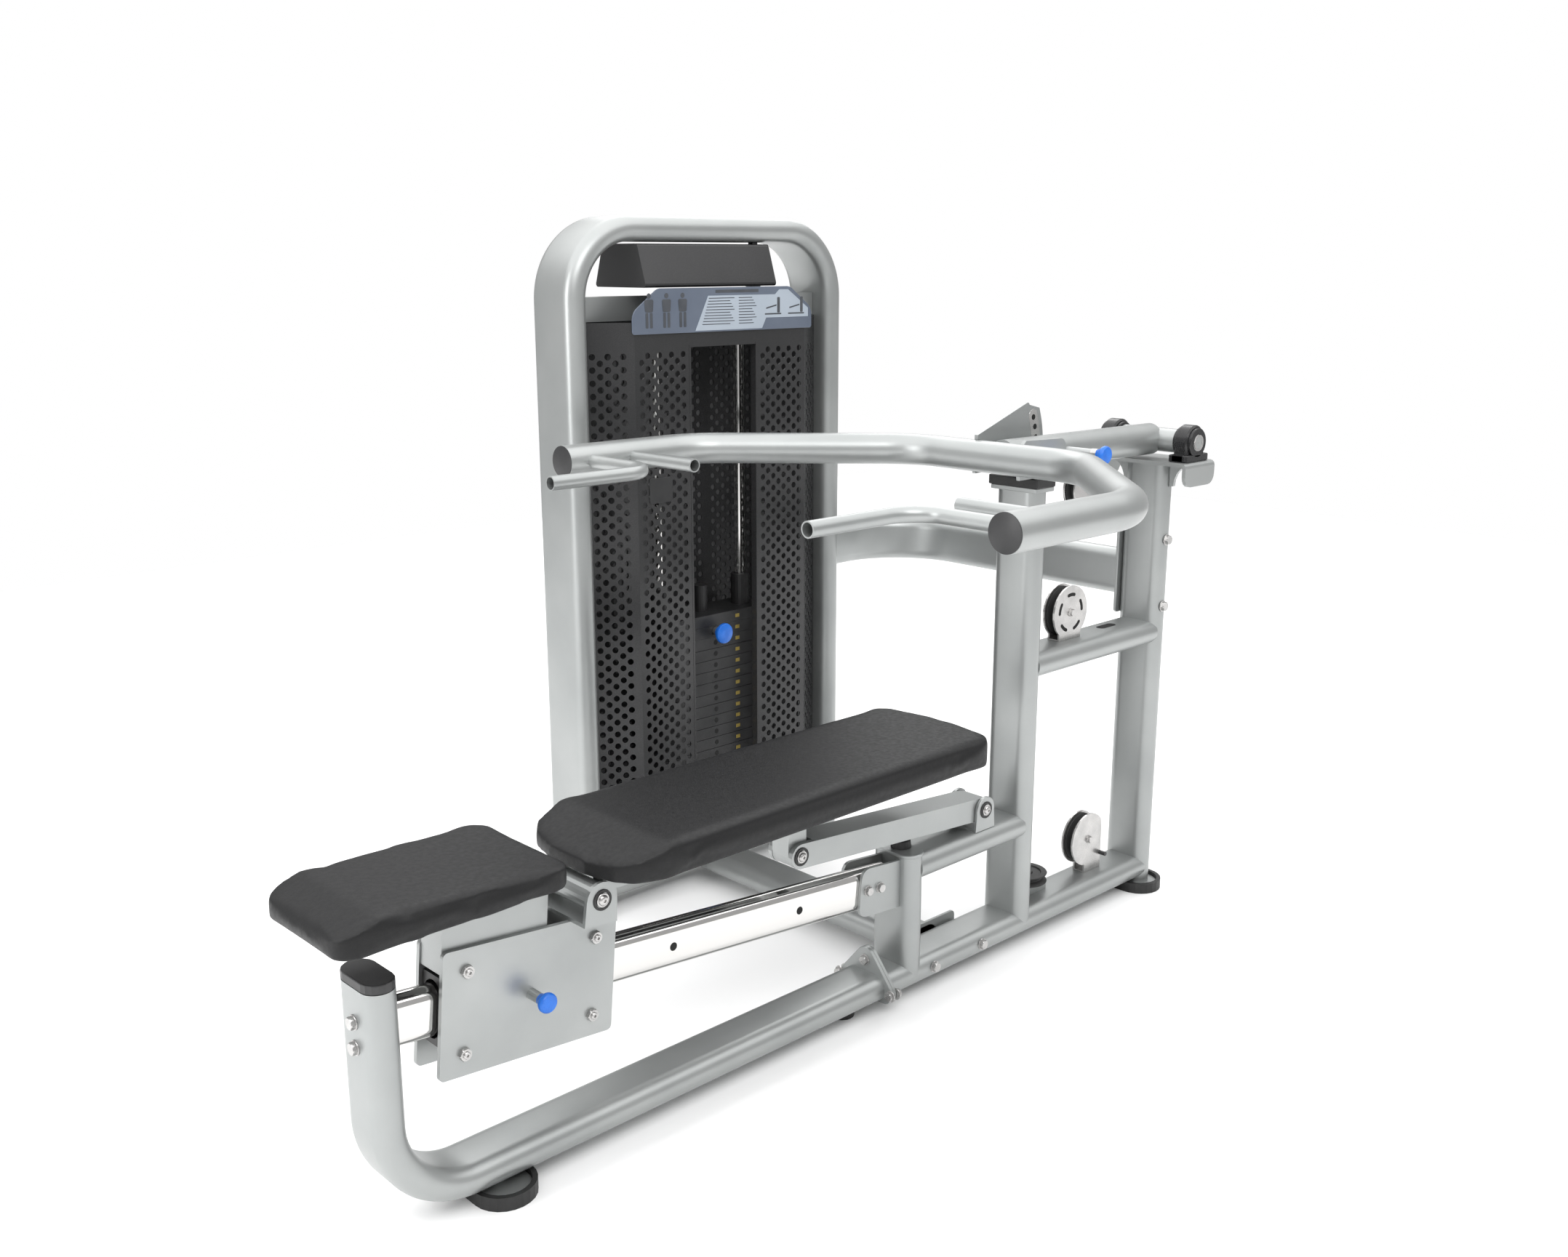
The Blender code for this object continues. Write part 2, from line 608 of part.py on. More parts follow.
def build_weights():
    lifted = joint("weight_slide", (TOWER_X, TOWER_Y, STACK_TOP))
    second_top = STACK_TOP - PLATE_PITCH
    top_plate = weight_plates(STACK_TOP, 1)
    for side in (-1, 1):
        x = TOWER_X + side * ROD_X
        collar = turned([(0.0124, 0.68), (0.021, 0.678), (0.021, STACK_TOP - 0.004),
                         (0.0124, STACK_TOP - 0.004), (0.0124, 0.68)], at(x, TOWER_Y, 0), 20)
        join(top_plate, collar)
    stem = rod((TOWER_X, TOWER_Y, second_top + 0.004), (TOWER_X, TOWER_Y, 0.668), 0.016, 20)
    join(top_plate, stem)
    keep(top_plate, "top_weight", "plate_iron", lifted)

    pin_z = second_top - PLATE_PITCH / 2
    second = weight_plates(second_top, 1)
    cut(second, rod((TOWER_X, 0.65, pin_z), (TOWER_X, TOWER_Y, pin_z), 0.0056, 16))
    keep(second, "second_weight", "plate_iron", lifted)

    stack = weight_plates(second_top - PLATE_PITCH, PLATE_COUNT - 2)
    for level in range(1, PLATE_COUNT - 2):
        z = second_top - (1 + level) * PLATE_PITCH
        cut(stack, block((TOWER_X - 0.2, STACK_Y0 - 0.01, z - 0.0006),
                         (TOWER_X + 0.2, STACK_Y0 + 0.0015, z + 0.0006)))
    keep(stack, "weight_stack", "plate_iron")

    knob = turned([(0, 0.034), (0.019, 0.033), (0.0225, 0.029), (0.0225, 0.024), (0.011, 0.017),
                   (0.010, 0.0), (0.0050, 0.0), (0.0050, -0.062), (0, -0.062)],
                  at(TOWER_X, 0.6655, pin_z) @ ALONG_Y, 24)
    keep(knob, "selector_pin", "knob_blue", joint("selector_pull", (TOWER_X, STACK_Y0, pin_z)))


# ---- pulleys ------------------------------------------------------------------------
UPPER_PULLEY = (-0.2746, 0.004, 0.669)
LOWER_PULLEY = (-0.1692, 0.006, 0.1500)
BASE_PULLEY = (-0.352, 0.022, 0.1115)
CHEEK_GAP = 0.0105          # inner face of a bracket's cheek from the pulley's middle
CHEEK = 0.004


def sheave(radius, half, place, name):
    """Grooved cable wheel with a bore for its axle."""
    profile = [(0.0066, half), (radius, half), (radius, half * 0.72), (radius - 0.010, half * 0.2),
               (radius - 0.010, -half * 0.2), (radius, -half * 0.72), (radius, -half),
               (0.0066, -half), (0.0066, half)]
    spin = joint(name + "_spin", place.translation)
    keep(turned(profile, place, 28), name, "rubber_black", spin)


def pulley_bracket(centre, cheek_outline, seat_z, half_foot, name):
    """Two cheeks on a foot, with the axle between them."""
    x, y, z = centre
    far = flat_piece([cheek_outline], CHEEK, at(x, y + CHEEK_GAP + CHEEK / 2, 0) @ ALONG_Y)
    near = flat_piece([cheek_outline], CHEEK, at(x, y - CHEEK_GAP - CHEEK / 2, 0) @ ALONG_Y)
    reach = CHEEK_GAP + CHEEK - 0.0005
    foot = block((x + half_foot[0] + 0.0005, y - reach, seat_z + 0.0004),
                 (x + half_foot[1] - 0.0005, y + reach, seat_z + 0.003))
    axle = rod((x, y - reach - 0.006, z), (x, y + reach + 0.006, z), 0.006, 16)
    join(far, foot, near, axle)
    keep(far, name, "zinc")


def build_pulleys():
    sheave(0.0510, 0.0095, at(*UPPER_PULLEY) @ ALONG_Y, "upper_pulley")
    sheave(0.0525, 0.0095, at(*LOWER_PULLEY) @ ALONG_Y, "lower_pulley")
    sheave(0.0470, 0.0100, at(*BASE_PULLEY), "base_pulley")
    seat = MID_Z + OVAL_THIN / 2 + GAP
    z = UPPER_PULLEY[2]
    disc = arc(0, z, 0.0555, -50, 230, 20)
    pulley_bracket(UPPER_PULLEY, [(-0.0355, seat), (0.0355, seat)] + disc, seat, (-0.0355, 0.0355),
                   "upper_pulley_bracket")
    seat = BASE_Z + OVAL_THIN / 2 + GAP
    z = LOWER_PULLEY[2]
    shape = [(-0.012, seat), (0.046, seat), (0.046, z + 0.020)]
    shape += arc(-0.001, z, 0.0575, 40, 250, 18) + [(-0.012, z - 0.0555)]
    pulley_bracket(LOWER_PULLEY, shape, seat, (-0.012, 0.046), "lower_pulley_bracket")


# ---- rail and carriage --------------------------------------------------------------
def along_rail(s=0.0, n=0.0, y=0.0, start=CARRIAGE):
    """A point from its distances along and square to the rail."""
    cos, sin = math.cos(RAIL_SLOPE), math.sin(RAIL_SLOPE)
    return Vector((start.x + s * cos + n * sin, y, start.z - s * sin + n * cos))


def rail_frame(origin):
    """Matrix whose local x runs along the rail and local z square to it."""
    return Matrix.Translation(origin) @ Matrix.Rotation(RAIL_SLOPE, 4, "Y")


def rail_bar(half_length, grow=0.0):
    section = oblong(RAIL_THIN / 2 + grow, RAIL_WIDE / 2 + grow)
    middle = along_rail(-0.4445 + 0.002, 0, 0, RAIL_START)
    return flat_piece([section], 2 * half_length, rail_frame(middle) @ ALONG_X)


def build_rail():
    rail = rail_bar(0.530)
    cut(rail, oval_along_z(POST_X, 0.1, 0.5, GAP), oval_along_z(SHORT_POST_X, 0.1, 0.35, GAP))
    for place in (0.0, 0.2855, 0.571):
        hole = along_rail(place, (RAIL_START - CARRIAGE).dot(rail_normal()), 0)
        cut(rail, rod(hole + Vector((0, -0.03, 0)), hole + Vector((0, -0.008, 0)), 0.0075, 16))
    keep(rail, "slide_rail", "chrome")
    for side, name in ((-1, "rail_plate_near"), (1, "rail_plate_far")):
        corners = [(-0.075, -0.046), (0.036, -0.046), (0.036, 0.046), (-0.075, 0.046)]
        radii = [0.018, 0, 0, 0.018]
        middle = along_rail(0.055, 0, side * (RAIL_THIN / 2 + GAP + 0.003), RAIL_START)
        plate = flat_piece([rounded(corners, radii, 4)], 0.006, rail_frame(middle) @ ALONG_Y)
        cut(plate, oval_along_z(SHORT_POST_X, 0.1, 0.35, GAP))
        keep(plate, name, "frame_silver")


def rail_normal():
    return Vector((math.sin(RAIL_SLOPE), 0, math.cos(RAIL_SLOPE)))


def tilted_plate(corners, radii, thickness, y, holes=()):
    """A plate square to Y, drawn along and square to the rail from the carriage's middle."""
    place = rail_frame(CARRIAGE + Vector((0, y, 0))) @ ALONG_Y
    return flat_piece([rounded(corners, radii, 4), *holes], thickness, place)


def build_carriage():
    slide = joint("carriage_hinge", HINGE)
    half_x, half_z = CARRIAGE_LONG / 2, CARRIAGE_TALL / 2
    rectangle = [(-half_x, -half_z), (half_x, -half_z), (half_x, half_z), (-half_x, half_z)]
    y = CARRIAGE_INNER + SHEET / 2
    near = tilted_plate(rectangle, 0.008, SHEET, -y)
    barrel_end = CARRIAGE_INNER + SHEET + BARREL
    join(near, rod(along_rail(y=-barrel_end), along_rail(y=-CARRIAGE_INNER - 0.004), 0.0085, 20))
    cut(near, rod(along_rail(y=-barrel_end - 0.01), along_rail(y=-0.02), 0.0062, 16))
    keep(near, "carriage_plate_near", "frame_silver", slide)
    keep(tilted_plate(rectangle, 0.008, SHEET, y), "carriage_plate_far", "frame_silver", slide)

    inner = CARRIAGE_INNER - GAP
    rail_height = (RAIL_START - CARRIAGE).dot(rail_normal())
    outline = rounded([(-inner, -0.052), (inner, -0.052), (inner, 0.052), (-inner, 0.052)], 0.004, 2)
    inside = oblong(RAIL_THIN / 2 + 0.003, RAIL_WIDE / 2 + 0.0045)
    liner = flat_piece([outline, inside], CARRIAGE_LONG - 0.012,
                       rail_frame(along_rail(0, rail_height)) @ ALONG_X)
    cut(liner, rod(along_rail(y=-0.04), along_rail(y=-0.015), 0.0065, 16))
    keep(liner, "rail_liner", "plastic_dark", slide)

    carrier = [(-0.150, 0.060), (0.029, 0.060), (0.029, 0.1650), (-0.150, 0.1500)]
    bar = tilted_plate(carrier, 0.003, 2 * (CARRIAGE_INNER - GAP), 0)
    keep(bar, "seat_carrier", "frame_silver", slide)

    base_n = half_z + GAP
    along = Vector((math.cos(RAIL_SLOPE), 0, -math.sin(RAIL_SLOPE)))
    hinge_s = (HINGE - CARRIAGE).dot(along)
    hinge_n = (HINGE - CARRIAGE).dot(rail_normal())
    s0, s1 = hinge_s - 0.030, hinge_s + 0.030
    ear = [(s0, base_n), (s1, base_n)] + arc(hinge_s, hinge_n, 0.028, 0, 180, 10)
    near_ear = tilted_plate(ear, 0, 0.0066, -0.0687)
    far_ear = tilted_plate(ear, 0, 0.0066, 0.0687)
    web = tilted_plate([(s0, base_n), (s1, base_n), (s1, base_n + 0.006), (s0, base_n + 0.006)],
                       0, 0.1374, 0)
    pin = rod(HINGE + Vector((0, -0.070, 0)), HINGE + Vector((0, 0.070, 0)), 0.0080, 16)
    join(near_ear, web, far_ear, pin)
    keep(near_ear, "hinge_fork", "frame_silver", slide)

    seat_turn = Matrix.Rotation(math.radians(1.6), 4, "Y")
    outline = rounded([(-0.1825, -0.112), (0.1825, -0.1265), (0.1825, 0.1265), (-0.1825, 0.112)],
                      0.034, 5)
    place = at(-1.7725, 0, 0.5205) @ seat_turn
    seat = flat_piece([outline], 0.080, place)
    side = [(-0.1900, -0.037), (-0.1830, -0.037), (0.1830, -0.017), (0.1900, -0.017),
            (0.1900, 0.017), (-0.1250, 0.017), (-0.1790, -0.003), (-0.1900, -0.007)]
    combine(seat, flat_piece([side], 0.4, place @ ALONG_Y), "INTERSECT")
    keep(seat, "seat_pad", "pad_black", slide)

    knob = turned([(0, 0.0165), (0.0135, 0.0155), (0.0155, 0.0120), (0.0155, 0.0085),
                   (0.0090, 0.0012), (0.0055, 0.0), (0.0055, -0.0425), (0, -0.0425)],
                  rail_frame(along_rail(y=-barrel_end)) @ ALONG_Y, 24)
    keep(knob, "carriage_pin", "knob_blue", joint("carriage_pin_pull", CARRIAGE))


# ---- back rest and link -------------------------------------------------------------
BACK_BOTTOM = 0.467
BACK_TOP = 0.5235
BACK_HALF = 0.1435


def back_outline():
    """Plan of the back pad: a shallow arc at the head, rounded corners at the foot."""
    head_radius = 0.43
    half_angle = math.degrees(math.asin((BACK_HALF - 0.020) / head_radius))
    head = arc(-0.651 - head_radius, 0, head_radius, -half_angle, half_angle, 8)
    foot = [(-1.512, -0.100), (-1.490, -0.128), (-1.440, -BACK_HALF)]
    near = foot + [(-0.690, -BACK_HALF)] + head
    return near + [(x, -y) for x, y in near[::-1] if abs(y) > 0.05 and x < -0.68]


def build_back_rest():
    outline = back_outline()
    mirror_foot = [(-1.525, 0.045), (-1.525, -0.045)]
    pad = flat_piece([outline + mirror_foot], BACK_TOP - BACK_BOTTOM,
                     at(0, 0, (BACK_TOP + BACK_BOTTOM) / 2))
    wedge = [(-1.56, 0.475), (-1.56, 0.560), (-1.4295, 0.560), (-1.4295, BACK_TOP),
             (-1.53, 0.4945), (-1.54, 0.492)]
    cut(pad, flat_piece([wedge], 0.5, ALONG_Y))
    knee_joint = joint("back_rest_hinge", KNEE)
    keep(pad, "back_pad", "pad_black", knee_joint)

    boss_y = 0.0650
    tube = turned([(0.0084, boss_y), (0.0225, boss_y), (0.0225, -boss_y), (0.0084, -boss_y),
                   (0.0084, boss_y)], Matrix.Translation(HINGE) @ ALONG_Y, 24)
    side_rails = []
    top = BACK_BOTTOM - GAP
    for side in (-1, 1):
        side_rails.append(block((-1.500, side * 0.048 - 0.0125, top - 0.024),
                                (-0.800, side * 0.048 + 0.0125, top)))
    spreader = block((-1.075, -0.050, top - 0.022), (-1.030, 0.050, top - 0.001))
    knee_top = top - KNEE.z - 0.002
    knee_plate = [(-0.0215, knee_top)] + arc(0, 0, 0.0215, 180, 360, 10) + [(0.0215, knee_top)]
    knee = flat_piece([knee_plate, circle(0, 0, 0.0084, 16)], 0.0400,
                      Matrix.Translation(KNEE) @ ALONG_Y)
    join(tube, side_rails[0], side_rails[1], spreader, knee)
    keep(tube, "back_frame", "frame_silver", knee_joint)


def build_link():
    """Strut from the frame to the back rest, forked at both ends."""
    middle = (KNEE + ANCHOR) / 2
    along = (ANCHOR - KNEE)
    length = along.length
    turn = math.atan2(-along.z, along.x)
    place = Matrix.Translation(middle) @ Matrix.Rotation(turn, 4, "Y")
    half = length / 2
    side_shape = arc(half, 0, 0.0225, -90, 90, 8) + arc(-half, 0, 0.0225, 90, 270, 8)
    bar = flat_piece([side_shape], 0.060, place @ ALONG_Y)
    knee_room = [(-half - 0.03, -0.03), (-half + 0.034, -0.03),
                 (-half + 0.034, 0.03), (-half - 0.03, 0.03)]
    cut(bar, flat_piece([knee_room], 0.0406, place @ ALONG_Y))
    anchor_hole = rod(ANCHOR + Vector((0, -0.05, 0)), ANCHOR + Vector((0, 0.05, 0)), 0.0084, 16)
    cut(bar, anchor_hole)
    pin = rod(KNEE + Vector((0, -0.0310, 0)), KNEE + Vector((0, 0.0310, 0)), 0.0080, 16)
    join(bar, pin)
    keep(bar, "link_bar", "frame_silver", joint("link_hinge", ANCHOR))


# ---- press arm ----------------------------------------------------------------------
def build_press():
    pivot = Vector((0, 0, PIVOT_Z))
    inner = BEARING_Y - BEARING_HALF - 0.0006
    end = BEARING_Y + BEARING_HALF + 0.0005
    lever = turned([(0, end), (STUB_R, end), (STUB_R, inner), (SHAFT_R, inner), (SHAFT_R, -inner),
                    (STUB_R, -inner), (STUB_R, -end), (0, -end)],
                   Matrix.Translation(pivot) @ ALONG_Y, 28)
    hinge = Vector((ARM_HINGE_X, 0, LEVER_Z))
    pin_x = ARM_HINGE_X + START_HOLE_R
    tube = rod((-0.010, 0, PIVOT_Z + 0.0005), (ARM_HINGE_X + 0.012, 0, LEVER_Z), LEVER_R, 28)
    hub = rod(hinge + Vector((0, -HUB_HALF, 0)), hinge + Vector((0, HUB_HALF, 0)), ARM_R + HUB_WALL, 28)
    barrel = rod((pin_x, -0.088, LEVER_Z), (pin_x, -0.020, LEVER_Z), 0.0095, 20)
    join(lever, tube, hub, barrel)
    cut(lever, rod(hinge + Vector((0, -0.1, 0)), hinge + Vector((0, 0.1, 0)), ARM_R + 0.0004, 28),
        rod((pin_x, -0.1, LEVER_Z), (pin_x, 0.1, LEVER_Z), 0.0066, 16))
    turn = joint("press_lever_hinge", pivot)
    keep(lever, "press_lever", "frame_silver", turn)
    shoe = [(0.0, -0.0390), (0.1485, -0.0390), (0.1485, 0.0245), (0.09, 0.042)]
    outline = arc(0, 0, 0.042, 90, 240, 8) + rounded(shoe, [0, 0.020, 0.020, 0.020], 4)
    plate = flat_piece([outline, circle(0, 0, ARM_R + 0.0004, 28)], SHEET,
                       Matrix.Translation(hinge - Vector((0, HUB_HALF + GAP + SHEET / 2, 0))) @ ALONG_Y)
    keep(plate, "stop_plate", "frame_silver", turn)

    knob = turned([(0, 0.0360), (0.0140, 0.0350), (0.0175, 0.0310), (0.0175, 0.0265), (0.0105, 0.0160),
                   (0.0105, 0.0012), (0.0060, 0.0), (0.0060, -0.1325), (0, -0.1325)],
                  at(pin_x, -0.088, LEVER_Z) @ ALONG_Y, 24)
    keep(knob, "start_pin", "knob_blue", joint("start_pin_pull", (pin_x, -0.088, LEVER_Z)))


def build_press_frame():
    hinge = Vector((ARM_HINGE_X, 0, LEVER_Z))
    turn = joint("press_frame_hinge", hinge)
    corners = [(ARM_END_X, -ARM_Y, LEVER_Z), (ARM_CORNER_X, -ARM_Y, LEVER_Z),
               (ARM_HINGE_X, -ARM_CROSS_Y, LEVER_Z), (ARM_HINGE_X, ARM_CROSS_Y, LEVER_Z),
               (ARM_CORNER_X, ARM_Y, LEVER_Z), (ARM_END_X, ARM_Y, LEVER_Z)]
    tube = round_tube(rounded(corners, 0.150, steps=6, closed=False), ARM_R, 5)
    keep(tube, "press_frame", "frame_silver", turn)
    for side, word in ((-1, "near"), (1, "far")):
        root = side * (ARM_Y - ARM_R - GAP)
        straight = [(-0.995, root, GRIP_Z), (-0.995, side * 0.310, GRIP_Z)]
        keep(round_tube(straight, GRIP_R, 4), word + "_rear_handle", "frame_silver", turn)
        bent = rounded([(-1.090, root, GRIP_Z), (-1.090, side * 0.305, GRIP_Z),
                        (-1.314, side * 0.305, GRIP_Z)], 0.060, steps=6, closed=False)
        keep(round_tube(bent, GRIP_R, 4), word + "_front_handle", "frame_silver", turn)

    tube_hole = circle(0, 0, ARM_R + GAP, 28)
    lower_edge = [(0.040, -0.003), (0.118, 0.000), (0.150, -0.0185)]
    apex = (0.158, 0.0895)
    sector = (arc(0, 0, 0.042, 90, 340, 12) + lower_edge
              + arc(0, 0, SECTOR_R, -5, 24.5, 8) + [apex])
    holes = []
    for angle in START_HOLES:
        x = START_HOLE_R * math.cos(math.radians(angle))
        z = START_HOLE_R * math.sin(math.radians(angle))
        holes.append(circle(x, z, 0.0066, 12))
    plate = flat_piece([sector, tube_hole, *holes], SHEET,
                       Matrix.Translation(hinge + Vector((0, SECTOR_Y, 0))) @ ALONG_Y)
    keep(plate, "sector_plate", "frame_silver", turn)


def main():
    build_floor_frame()
    build_columns()
    build_bridge()
    bearing_block(-1, "near_bearing")
    bearing_block(1, "far_bearing")
    build_side_frame()
    build_tower()
    build_covers()
    build_weights()
    build_pulleys()
    build_rail()
    build_carriage()
    build_back_rest()
    build_link()
    build_press()
    build_press_frame()


empty_scene()
parts = new_collection("multi_press")
cutters = new_collection("guides")
main()
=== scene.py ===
import math
import bmesh
import bpy
import numpy as np
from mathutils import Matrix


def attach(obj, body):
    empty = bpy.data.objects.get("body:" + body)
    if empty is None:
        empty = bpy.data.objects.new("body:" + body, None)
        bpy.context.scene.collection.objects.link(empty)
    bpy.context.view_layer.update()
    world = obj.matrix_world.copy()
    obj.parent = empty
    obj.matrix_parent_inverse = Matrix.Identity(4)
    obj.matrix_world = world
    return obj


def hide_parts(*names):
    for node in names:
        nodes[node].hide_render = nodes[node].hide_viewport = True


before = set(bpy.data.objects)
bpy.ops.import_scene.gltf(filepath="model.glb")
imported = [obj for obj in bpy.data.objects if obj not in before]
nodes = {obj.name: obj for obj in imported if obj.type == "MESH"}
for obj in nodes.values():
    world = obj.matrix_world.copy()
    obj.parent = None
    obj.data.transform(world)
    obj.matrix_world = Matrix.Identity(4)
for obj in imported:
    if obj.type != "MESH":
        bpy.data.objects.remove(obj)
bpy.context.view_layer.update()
print("frame loaded:", len(nodes), "nodes")


# Camera and light: a pale room with one large soft lamp overhead and three small ones
view = {"place": (-2.7718, -1.7865, 1.37), "tilt": 76.2794, "turn": -43.6469, "lens": 35, "sensor": 36}
camera = bpy.data.objects.new("camera", bpy.data.cameras.new("camera"))
camera.location = view["place"]
camera.rotation_euler = (math.radians(view["tilt"]), 0, math.radians(view["turn"]))
camera.data.lens = view["lens"]
camera.data.sensor_width = view["sensor"]
bpy.context.scene.collection.objects.link(camera)
bpy.context.scene.camera = camera
bpy.context.scene.view_settings.view_transform = "Standard"

studio = {"world": 0.50, "overhead": 1150, "key": 42, "fill": 55, "back": 25}  # strength, then watts


# A rectangular lamp turned to its target: tilt from the drop, turn from the sideways reach.
def softLamp(name, place, target, size, power):
    lamp = bpy.data.lights.new(name, "AREA")
    lamp.shape = "RECTANGLE"
    lamp.size, lamp.size_y = size
    lamp.energy = power
    obj = bpy.data.objects.new(name, lamp)
    obj.location = place
    aim = np.array(target, float) - np.array(place, float)
    obj.rotation_euler = (math.atan2(math.hypot(aim[0], aim[1]), -aim[2]), 0,
        math.atan2(aim[1], aim[0]) - math.pi / 2)
    bpy.context.scene.collection.objects.link(obj)


# The room lights the object softly, and the camera sees it as plain white.
world = bpy.data.worlds.new("paleRoom")
world.use_nodes = True
roomTree = world.node_tree
glow = roomTree.nodes["Background"]
glow.inputs["Color"].default_value = (1, 1, 1, 1)
glow.inputs["Strength"].default_value = studio["world"]
backdrop = roomTree.nodes.new("ShaderNodeBackground")
backdrop.inputs["Color"].default_value = (1, 1, 1, 1)
chooser = roomTree.nodes.new("ShaderNodeMixShader")
rays = roomTree.nodes.new("ShaderNodeLightPath")
roomTree.links.new(rays.outputs["Is Camera Ray"], chooser.inputs["Fac"])
roomTree.links.new(glow.outputs["Background"], chooser.inputs[1])
roomTree.links.new(backdrop.outputs["Background"], chooser.inputs[2])
roomTree.links.new(chooser.outputs["Shader"], roomTree.nodes["World Output"].inputs["Surface"])
bpy.context.scene.world = world
softLamp("overhead", (-0.8, 0.2, 6.0), (-0.8, 0.21, 0), (15, 15), studio["overhead"])
softLamp("keyLamp", (-2.2, -2.6, 3.4), (-0.8, 0, 0.6), (2.4, 1.6), studio["key"])
softLamp("fillLamp", (-4.6, 0.6, 1.8), (-1.0, 0, 0.5), (1.2, 2.6), studio["fill"])
softLamp("backLamp", (1.8, 2.8, 3.2), (-0.4, 0.2, 0.8), (2.6, 1.6), studio["back"])


# Two tones, two roughnesses, the scales of the slow cloud and the fine grain, and the grain's depth.
finishSettings = {
    "frame_silver": {"dark": (0.335, 0.348, 0.346), "light": (0.405, 0.418, 0.414), "metal": 0.70,
                     "rough": (0.33, 0.42), "cloud": 5, "grain": 1500, "depth": 0.00003},
    "chrome": {"dark": (0.66, 0.65, 0.635), "light": (0.74, 0.73, 0.715), "metal": 1.0,
               "rough": (0.07, 0.13), "cloud": 9, "grain": 700, "depth": 0.000008, "stretch": (0.04, 1, 1)},
    "zinc": {"dark": (0.44, 0.435, 0.43), "light": (0.56, 0.55, 0.54), "metal": 0.9,
             "rough": (0.22, 0.36), "cloud": 40, "grain": 1100, "depth": 0.00002},
    "rubber_black": {"dark": (0.010, 0.010, 0.010), "light": (0.020, 0.020, 0.020), "metal": 0.0,
                     "rough": (0.42, 0.62), "cloud": 30, "grain": 900, "depth": 0.00005},
    "plastic_dark": {"dark": (0.020, 0.020, 0.021), "light": (0.032, 0.032, 0.033), "metal": 0.0,
                     "rough": (0.36, 0.48), "cloud": 25, "grain": 1300, "depth": 0.00003},
    "shroud_grey": {"dark": (0.026, 0.026, 0.027), "light": (0.036, 0.036, 0.037), "metal": 0.15,
                    "rough": (0.20, 0.30), "cloud": 4, "grain": 1600, "depth": 0.00002},
    "knob_blue": {"dark": (0.008, 0.115, 0.52), "light": (0.014, 0.165, 0.66), "metal": 0.0,
                  "rough": (0.26, 0.36), "cloud": 60, "grain": 1500, "depth": 0.00002},
    "casting_black": {"dark": (0.009, 0.009, 0.010), "light": (0.018, 0.018, 0.019), "metal": 0.1,
                      "rough": (0.22, 0.36), "cloud": 45, "grain": 500, "depth": 0.00008},
    "plate_iron": {"dark": (0.018, 0.018, 0.019), "light": (0.034, 0.034, 0.035), "metal": 0.3,
                   "rough": (0.34, 0.50), "cloud": 18, "grain": 800, "depth": 0.00004},
    "placard_grey": {"dark": (0.085, 0.105, 0.145), "light": (0.135, 0.160, 0.205), "metal": 0.0,
                     "rough": (0.28, 0.36), "cloud": 6, "grain": 1500, "depth": 0.00001},
    "placardLight": {"dark": (0.34, 0.39, 0.45), "light": (0.40, 0.45, 0.51), "metal": 0.0,
                     "rough": (0.30, 0.38), "cloud": 6, "grain": 1500, "depth": 0.00001},
    "placardInk": {"dark": (0.045, 0.050, 0.060), "light": (0.070, 0.075, 0.085), "metal": 0.0,
                   "rough": (0.40, 0.48), "cloud": 30, "grain": 1500, "depth": 0.00001},
    "markerGold": {"dark": (0.20, 0.15, 0.03), "light": (0.27, 0.20, 0.045), "metal": 0.2,
                   "rough": (0.35, 0.45), "cloud": 60, "grain": 1200, "depth": 0.00001},
    # lighter grey for the sheet behind the back shroud's holes: painted light, standing in for light showing
    # through them from behind
    "smokedPanel": {"dark": (0.070, 0.070, 0.072), "light": (0.095, 0.095, 0.097), "metal": 0.0,
                    "rough": (0.30, 0.40), "cloud": 5, "grain": 1500, "depth": 0.00001},
    # near-black for thin discs drawn over holes, slots and bores instead of cutting them: painted shade
    # standing in for their depth
    "holeShade": {"dark": (0.004, 0.004, 0.004), "light": (0.008, 0.008, 0.008), "metal": 0.0,
                  "rough": (0.75, 0.9), "cloud": 30, "grain": 600, "depth": 0.00002},
}


# A shader node of one kind, with the values of its sockets.
def addNode(tree, kind, values={}):
    node = tree.nodes.new("ShaderNode" + kind)
    for socket, value in values.items():
        node.inputs[socket].default_value = value
    return node


# Noise between two tones, noise between two roughnesses, and a fine noise as bump.
def newFinish(name, s):
    material = bpy.data.materials.new(name)
    material.use_nodes = True
    tree = material.node_tree
    shader = tree.nodes["Principled BSDF"]
    shader.inputs["Metallic"].default_value = s["metal"]
    place = addNode(tree, "TexCoord")
    mapping = addNode(tree, "Mapping", {"Scale": s.get("stretch", (1, 1, 1))})
    tree.links.new(place.outputs["Object"], mapping.inputs["Vector"])
    cloud = addNode(tree, "TexNoise", {"Scale": s["cloud"], "Detail": 6})
    grain = addNode(tree, "TexNoise", {"Scale": s["grain"], "Detail": 2})
    for noise in (cloud, grain):
        tree.links.new(mapping.outputs["Vector"], noise.inputs["Vector"])
    tones = addNode(tree, "ValToRGB")
    tones.color_ramp.elements[0].position = 0.3
    tones.color_ramp.elements[1].position = 0.7
    tones.color_ramp.elements[0].color = (*s["dark"], 1)
    tones.color_ramp.elements[1].color = (*s["light"], 1)
    tree.links.new(cloud.outputs["Fac"], tones.inputs["Fac"])
    tree.links.new(tones.outputs["Color"], shader.inputs["Base Color"])
    low, high = s["rough"]
    spread = addNode(tree, "MapRange", {"From Min": 0.3, "From Max": 0.7, "To Min": low, "To Max": high})
    tree.links.new(grain.outputs["Fac"], spread.inputs["Value"])
    tree.links.new(spread.outputs["Result"], shader.inputs["Roughness"])
    bump = addNode(tree, "Bump", {"Strength": 0.6, "Distance": s["depth"]})
    tree.links.new(grain.outputs["Fac"], bump.inputs["Height"])
    tree.links.new(bump.outputs["Normal"], shader.inputs["Normal"])
    return material


